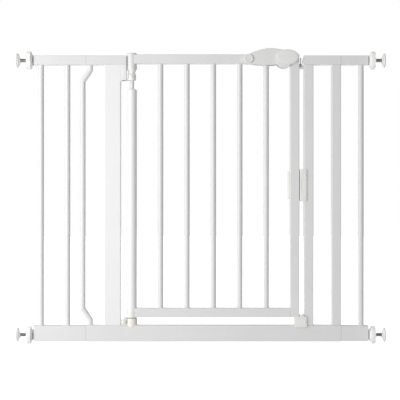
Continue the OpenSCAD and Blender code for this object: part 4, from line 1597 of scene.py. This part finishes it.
@dataclass
class LatchFittings(Assembly):
    """The keeper, the mid stop block, the stile's clip and the bottom catch."""

    def build(self) -> None:
        """Models the fittings from top to bottom."""
        self.keeper()
        self.mid_block()
        self.stile_clip()
        self.bottom_catch()

    def keeper(self) -> None:
        """A bent strip with a pocket for the bolt's nose."""
        low, high = node_box("top_keeper")
        strip = rounded(
            [(low.x, low.z, 0.8), (high.x, low.z, 1.8), (high.x, high.z, 0.6), (high.x - 2.5, high.z, 0.9),
             (high.x - 2.5, low.z + 4, 0.8), (low.x, low.z + 4, 0.8)]
        )
        pieces = [slab("strip", strip, Plane.XZ, low.y, high.y, rim=0.5)]
        cheek = rounded(
            [(low.x, low.z + 1, 0), (high.x - 1, low.z + 1, 0), (high.x - 1, low.z + 13, 1.0),
             (high.x - 2.4, low.z + 13, 1.0), (low.x + 0.6, low.z + 9.5, 1.2), (low.x, low.z + 8.5, 0.8)]
        )
        for y in (low.y + 1.9, high.y - 2.5):
            pieces.append(slab("cheek", cheek, Plane.XZ, y, y + 2.5, rim=0.5))
        hand_over(joined("top_keeper_detail", pieces), "frame", self.finishes.white,
                  ["top_keeper"])
        # A thin zinc strip along the keeper's left and lower edges: a metal edge, whose darker grey also
        # stands as painted shade for the shadow line in the gap beside the stile.
        edge = rounded(
            [(low.x + 0.4, high.z - 1, 0.8), (low.x + 0.4, low.z + 3.0, 1.2),
             (high.x - 1.2, low.z + 3.0, 0.8), (high.x - 1.2, low.z + 5.0, 0.8),
             (low.x + 2.6, low.z + 5.0, 0.8), (low.x + 2.6, high.z - 1, 0.8)]
        )
        hook = slab("top_keeper_shade_hook", edge, Plane.XZ, low.y, low.y + 1.8, rim=0.3)
        hand_over(hook, "frame", self.finishes.zinc, ["top_keeper"])

    def mid_block(self) -> None:
        """The clip on the latch post: rounded, with a shallow panel in its face."""
        low, high = node_box("mid_stop_block")
        outline = rounded(
            [(low.x, low.y, 2.0), (high.x, low.y, 1.6), (high.x, high.y, 1.6), (low.x, high.y, 2.0)]
        )
        body = slab("mid_stop_block_detail", outline, Plane.XY, low.z, high.z, rim=1.2)
        settle(body)
        panel = rounded(
            [(low.x + 2.6, low.z + 30, 1.5), (high.x - 8.4, low.z + 30, 1.5),
             (high.x - 8.4, high.z - 30, 1.5), (low.x + 2.6, high.z - 30, 1.5)]
        )
        carve(body, slab("panel", panel, Plane.XZ, low.y - 2, low.y + 0.6))
        carve(body, block("notch", Vector((low.x - 3, -7, high.z - 5)),
                          Vector((low.x + 2.5, 7, high.z + 3)), radius=0))
        hand_over(body, "frame", self.finishes.white, ["mid_stop_block"])

    def stile_clip(self) -> None:
        """The clip round the stile's left and back faces."""
        low, high = node_box("stile_stop_clip")
        stile = node_box("door_latch_stile")[0].x
        outline = rounded(
            [(low.x, low.y, 2.2), (stile, low.y, 0.4), (stile, TUBE_HALF, 0.2), (high.x, TUBE_HALF, 0.2),
             (high.x, high.y, 1.2), (low.x, high.y, 2.2)]
        )
        clip = slab("stile_stop_clip_detail", outline, Plane.XY, low.z, high.z, rim=1.0)
        hand_over(clip, "door", self.finishes.white, ["stile_stop_clip"])

    def bottom_catch(self) -> None:
        """The catch over the bottom rail, with two horns in front of the gap."""
        low, high = node_box("bottom_catch")
        rail = node_box("frame_bottom_rail")[1].z
        door = node_box("door_latch_stile")
        post = node_box("frame_latch_post")[0].x
        top = door[0].z - CATCH_GAP
        front = rounded(
            [(low.x, low.z, 1.6), (high.x, low.z, 1.6), (high.x, door[0].z + 3, 1.2),
             (post - 0.3, door[0].z + 3, 0.2), (post - 0.3, high.z, 0.7), (post - 3.0, high.z - 0.6, 0.7),
             ((door[1].x + post) / 2, door[0].z + 3.4, 1.0), (door[1].x + 3.6, high.z - 0.6, 0.7),
             (door[1].x + 1.3, high.z, 0.7), (door[1].x + 1.3, door[0].z + 3, 0.2),
             (low.x, door[0].z + 3, 1.2)]
        )
        plate = slab("plate", front, Plane.XZ, low.y, -TUBE_HALF - 0.4, rim=0.9)
        body = block("body", Vector((low.x, -TUBE_HALF - 1, rail + 0.1)), Vector((post - 0.1, high.y, top)),
                     radius=1.0)
        settle(body)
        rod = node_box("lift_rod")
        hole = turned("hole", [(0, rod[0].z - 1), (3.9, rod[0].z - 1), (3.9, top + 5), (0, top + 5)],
                      Vector(((rod[0].x + rod[1].x) / 2, 0, 0)), steps=32)
        carve(body, hole)
        back = slab(
            "back",
            rounded([(door[1].x + 1.3, top - 1, 0), (post - 0.3, top - 1, 0), (post - 0.3, high.z, 0.7),
                     ((door[1].x + post) / 2, door[0].z + 3.4, 1.0), (door[1].x + 1.3, high.z, 0.7)]),
            Plane.XZ, -TUBE_HALF, TUBE_HALF, rim=0.5,
        )
        catch = joined("bottom_catch_detail", [plate, body, back])
        hand_over(catch, "frame", self.finishes.white, ["bottom_catch"])


@dataclass
class Screws(Assembly):
    """The pan-head screws that show, each with a cross recess."""

    head_r: float = 3.4
    head_t: float = 1.6
    inset: float = 3.4  # from the latch post's left face to the screws in front of it

    def build(self) -> None:
        """Models one head and copies it to each screw."""
        master = self.head()
        stop, catch = node_box("mid_stop_block"), node_box("bottom_catch")[0]
        strap, keeper = node_box("hinge_lower_bracket")[0], node_box("top_keeper")[1]
        post = node_box("frame_latch_post")[0].x + self.inset
        rail = node_box("frame_bottom_rail")[1].z
        door = node_box("door_latch_stile")[0].z
        front = Matrix.Rotation(math.pi / 2, 4, "X")
        leftwards = Matrix.Rotation(-math.pi / 2, 4, "Y")
        places = [
            Matrix.Translation(mm(post, stop[0].y, stop[0].z + 18)) @ front,
            Matrix.Translation(mm(post, stop[0].y, stop[1].z - 18)) @ front,
            Matrix.Translation(mm(post, catch.y, (rail + door - CATCH_GAP) / 2)) @ front,
            Matrix.Translation(mm(strap.x + STRAP_BOSS[0], strap.y, strap.z + STRAP_BOSS[1])) @ front,
            Matrix.Translation(mm(keeper.x - 2.5, 0, keeper.z - 10)) @ leftwards,
        ]
        heads = [copied(master, "head", place) for place in places]
        hand_over(joined("frame_screws_detail", heads), "frame", self.finishes.white,
                  ["frame_screws"])
        low, high = node_box("housing_screws")
        back = Matrix.Rotation(-math.pi / 2, 4, "X")
        rim = Vector((self.head_r, 0, self.head_r))
        heads = [
            copied(master, "head", Matrix.Translation(mm(spot.x, high.y - self.head_t, spot.z)) @ back)
            for spot in (high - rim, low + rim)
        ]
        hand_over(joined("housing_screws_detail", heads), "door", self.finishes.zinc,
                  ["housing_screws"])
        bpy.data.objects.remove(master)

    def head(self) -> Piece:
        """A domed head along +Z with a cross sunk in it, and a short shank below.

        Returns:
            The head.
        """
        profile = rounded(
            [(0, -3.0, 0), (1.8, -3.0, 0), (1.8, 0, 0), (self.head_r, 0, 0.1), (self.head_r, 0.7, 0.7),
             (1.6, self.head_t, 1.2), (0, self.head_t, 0)],
            closed=False,
        )
        head = turned("screw_head", profile, ORIGIN, steps=36)
        settle(head)
        for long, wide in ((2.0, 0.42), (0.42, 2.0)):
            carve(head, block("recess", Vector((-long, -wide, 0.6)), Vector((long, wide, 4)), radius=0))
        return head


@dataclass
class Studio:
    """A plain pale floor, soft light and the camera."""

    distance: float = 3.0  # from the camera to the gate, in metres
    width: float = 1.08  # what the picture spans at the gate, in metres
    key: float = 18.0
    fill: float = 0.75
    fill_right: float = 0.30  # the even light that comes from the far right
    background: float = 1.0
    sensor: float = 36.0
    eye: tuple[float, float] = (-0.0027, 0.388)  # the camera's place across and up, in metres
    lamp: tuple[float, float, float] = (-1.35, -1.25, 0.55)
    lamp_aim: tuple[float, float, float] = (-0.25, 0.0, 0.42)
    floor_r: float = 9.0
    floor_drop: float = 0.0004  # keeps the floor clear of the wheels
    floor_glow: float = 0.82

    def build(self) -> None:
        """Sets the floor, the lights, the world and the camera."""
        bpy.context.scene.view_settings.view_transform = "Standard"
        self.floor()
        self.lights()
        self.world()
        self.camera()

    def floor(self) -> None:
        """A large level disc of white paper, lit from within so that it stays pale."""
        put_down()
        bpy.ops.mesh.primitive_circle_add(vertices=96, radius=self.floor_r, fill_type="NGON",
                                          location=(0, 0, -self.floor_drop))
        disc = bpy.context.object
        disc.name = "floor"
        settle(disc)
        material, tree = new_material("floor_paper")
        glow = add_node(tree, "ShaderNodeEmission",
                        values={"Color": srgb("#FFFFFF"), "Strength": self.floor_glow})
        paper = add_node(tree, "ShaderNodeBsdfDiffuse", values={"Color": srgb("#F2F2F2")})
        both = add_node(tree, "ShaderNodeAddShader", links={0: (glow, 0), 1: (paper, 0)})
        add_node(tree, "ShaderNodeOutputMaterial", links={"Surface": (both, 0)})
        disc.data.materials.append(material)
        disc.visible_diffuse = False

    def lights(self) -> None:
        """A large soft light at the front left, near enough to fade across the gate."""
        put_down()
        bpy.ops.object.light_add(type="AREA", location=self.lamp)
        lamp = bpy.context.object
        lamp.name = "key_light"
        lamp.data.shape, lamp.data.size, lamp.data.size_y = "RECTANGLE", 1.0, 1.2
        lamp.data.energy = self.key
        aim = Vector(self.lamp_aim) - Vector(self.lamp)
        lamp.rotation_euler = aim.to_track_quat("-Z", "Y").to_euler()

    def world(self) -> None:
        """White behind the gate, and a weaker light on it that fades towards its right side."""
        world = bpy.data.worlds.new("studio")
        bpy.context.scene.world = world
        world.use_nodes = True
        tree = world.node_tree
        tree.nodes.clear()
        seen = add_node(tree, "ShaderNodeBackground",
                        values={"Color": srgb("#FFFFFF"), "Strength": self.background})
        place = add_node(tree, "ShaderNodeTexCoord")
        parts = add_node(tree, "ShaderNodeSeparateXYZ", links={0: (place, "Generated")})
        fade = add_node(tree, "ShaderNodeMapRange",
                        values={"From Min": -0.2, "From Max": 0.9, "To Min": self.fill,
                                "To Max": self.fill_right},
                        links={"Value": (parts, "X")})
        cast = add_node(tree, "ShaderNodeBackground", values={"Color": srgb("#FDFDFE")},
                        links={"Strength": (fade, 0)})
        path = add_node(tree, "ShaderNodeLightPath")
        both = add_node(tree, "ShaderNodeMixShader",
                        links={0: (path, "Is Camera Ray"), 1: (cast, 0), 2: (seen, 0)})
        add_node(tree, "ShaderNodeOutputWorld", links={"Surface": (both, 0)})

    def camera(self) -> None:
        """A straight-on camera, a little below the gate's middle."""
        put_down()
        bpy.ops.object.camera_add(location=(self.eye[0], -self.distance, self.eye[1]),
                                  rotation=(math.pi / 2, 0, 0))
        camera = bpy.context.object
        camera.name = "camera"
        camera.data.sensor_width = self.sensor
        camera.data.lens = self.sensor * self.distance / self.width
        bpy.context.scene.camera = camera


def main() -> None:
    """Builds the gate's looks in order."""
    logging.basicConfig(level=logging.INFO, format="%(name)s: %(message)s")
    finishes = Finishes()
    for assembly in (TubeWork, WallFixing, Hinge, LatchHandle, LatchFittings, Screws):
        log.info("building %s", assembly.__name__)
        assembly(finishes).build()
    Studio().build()
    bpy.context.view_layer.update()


if __name__ == "__main__":
    main()
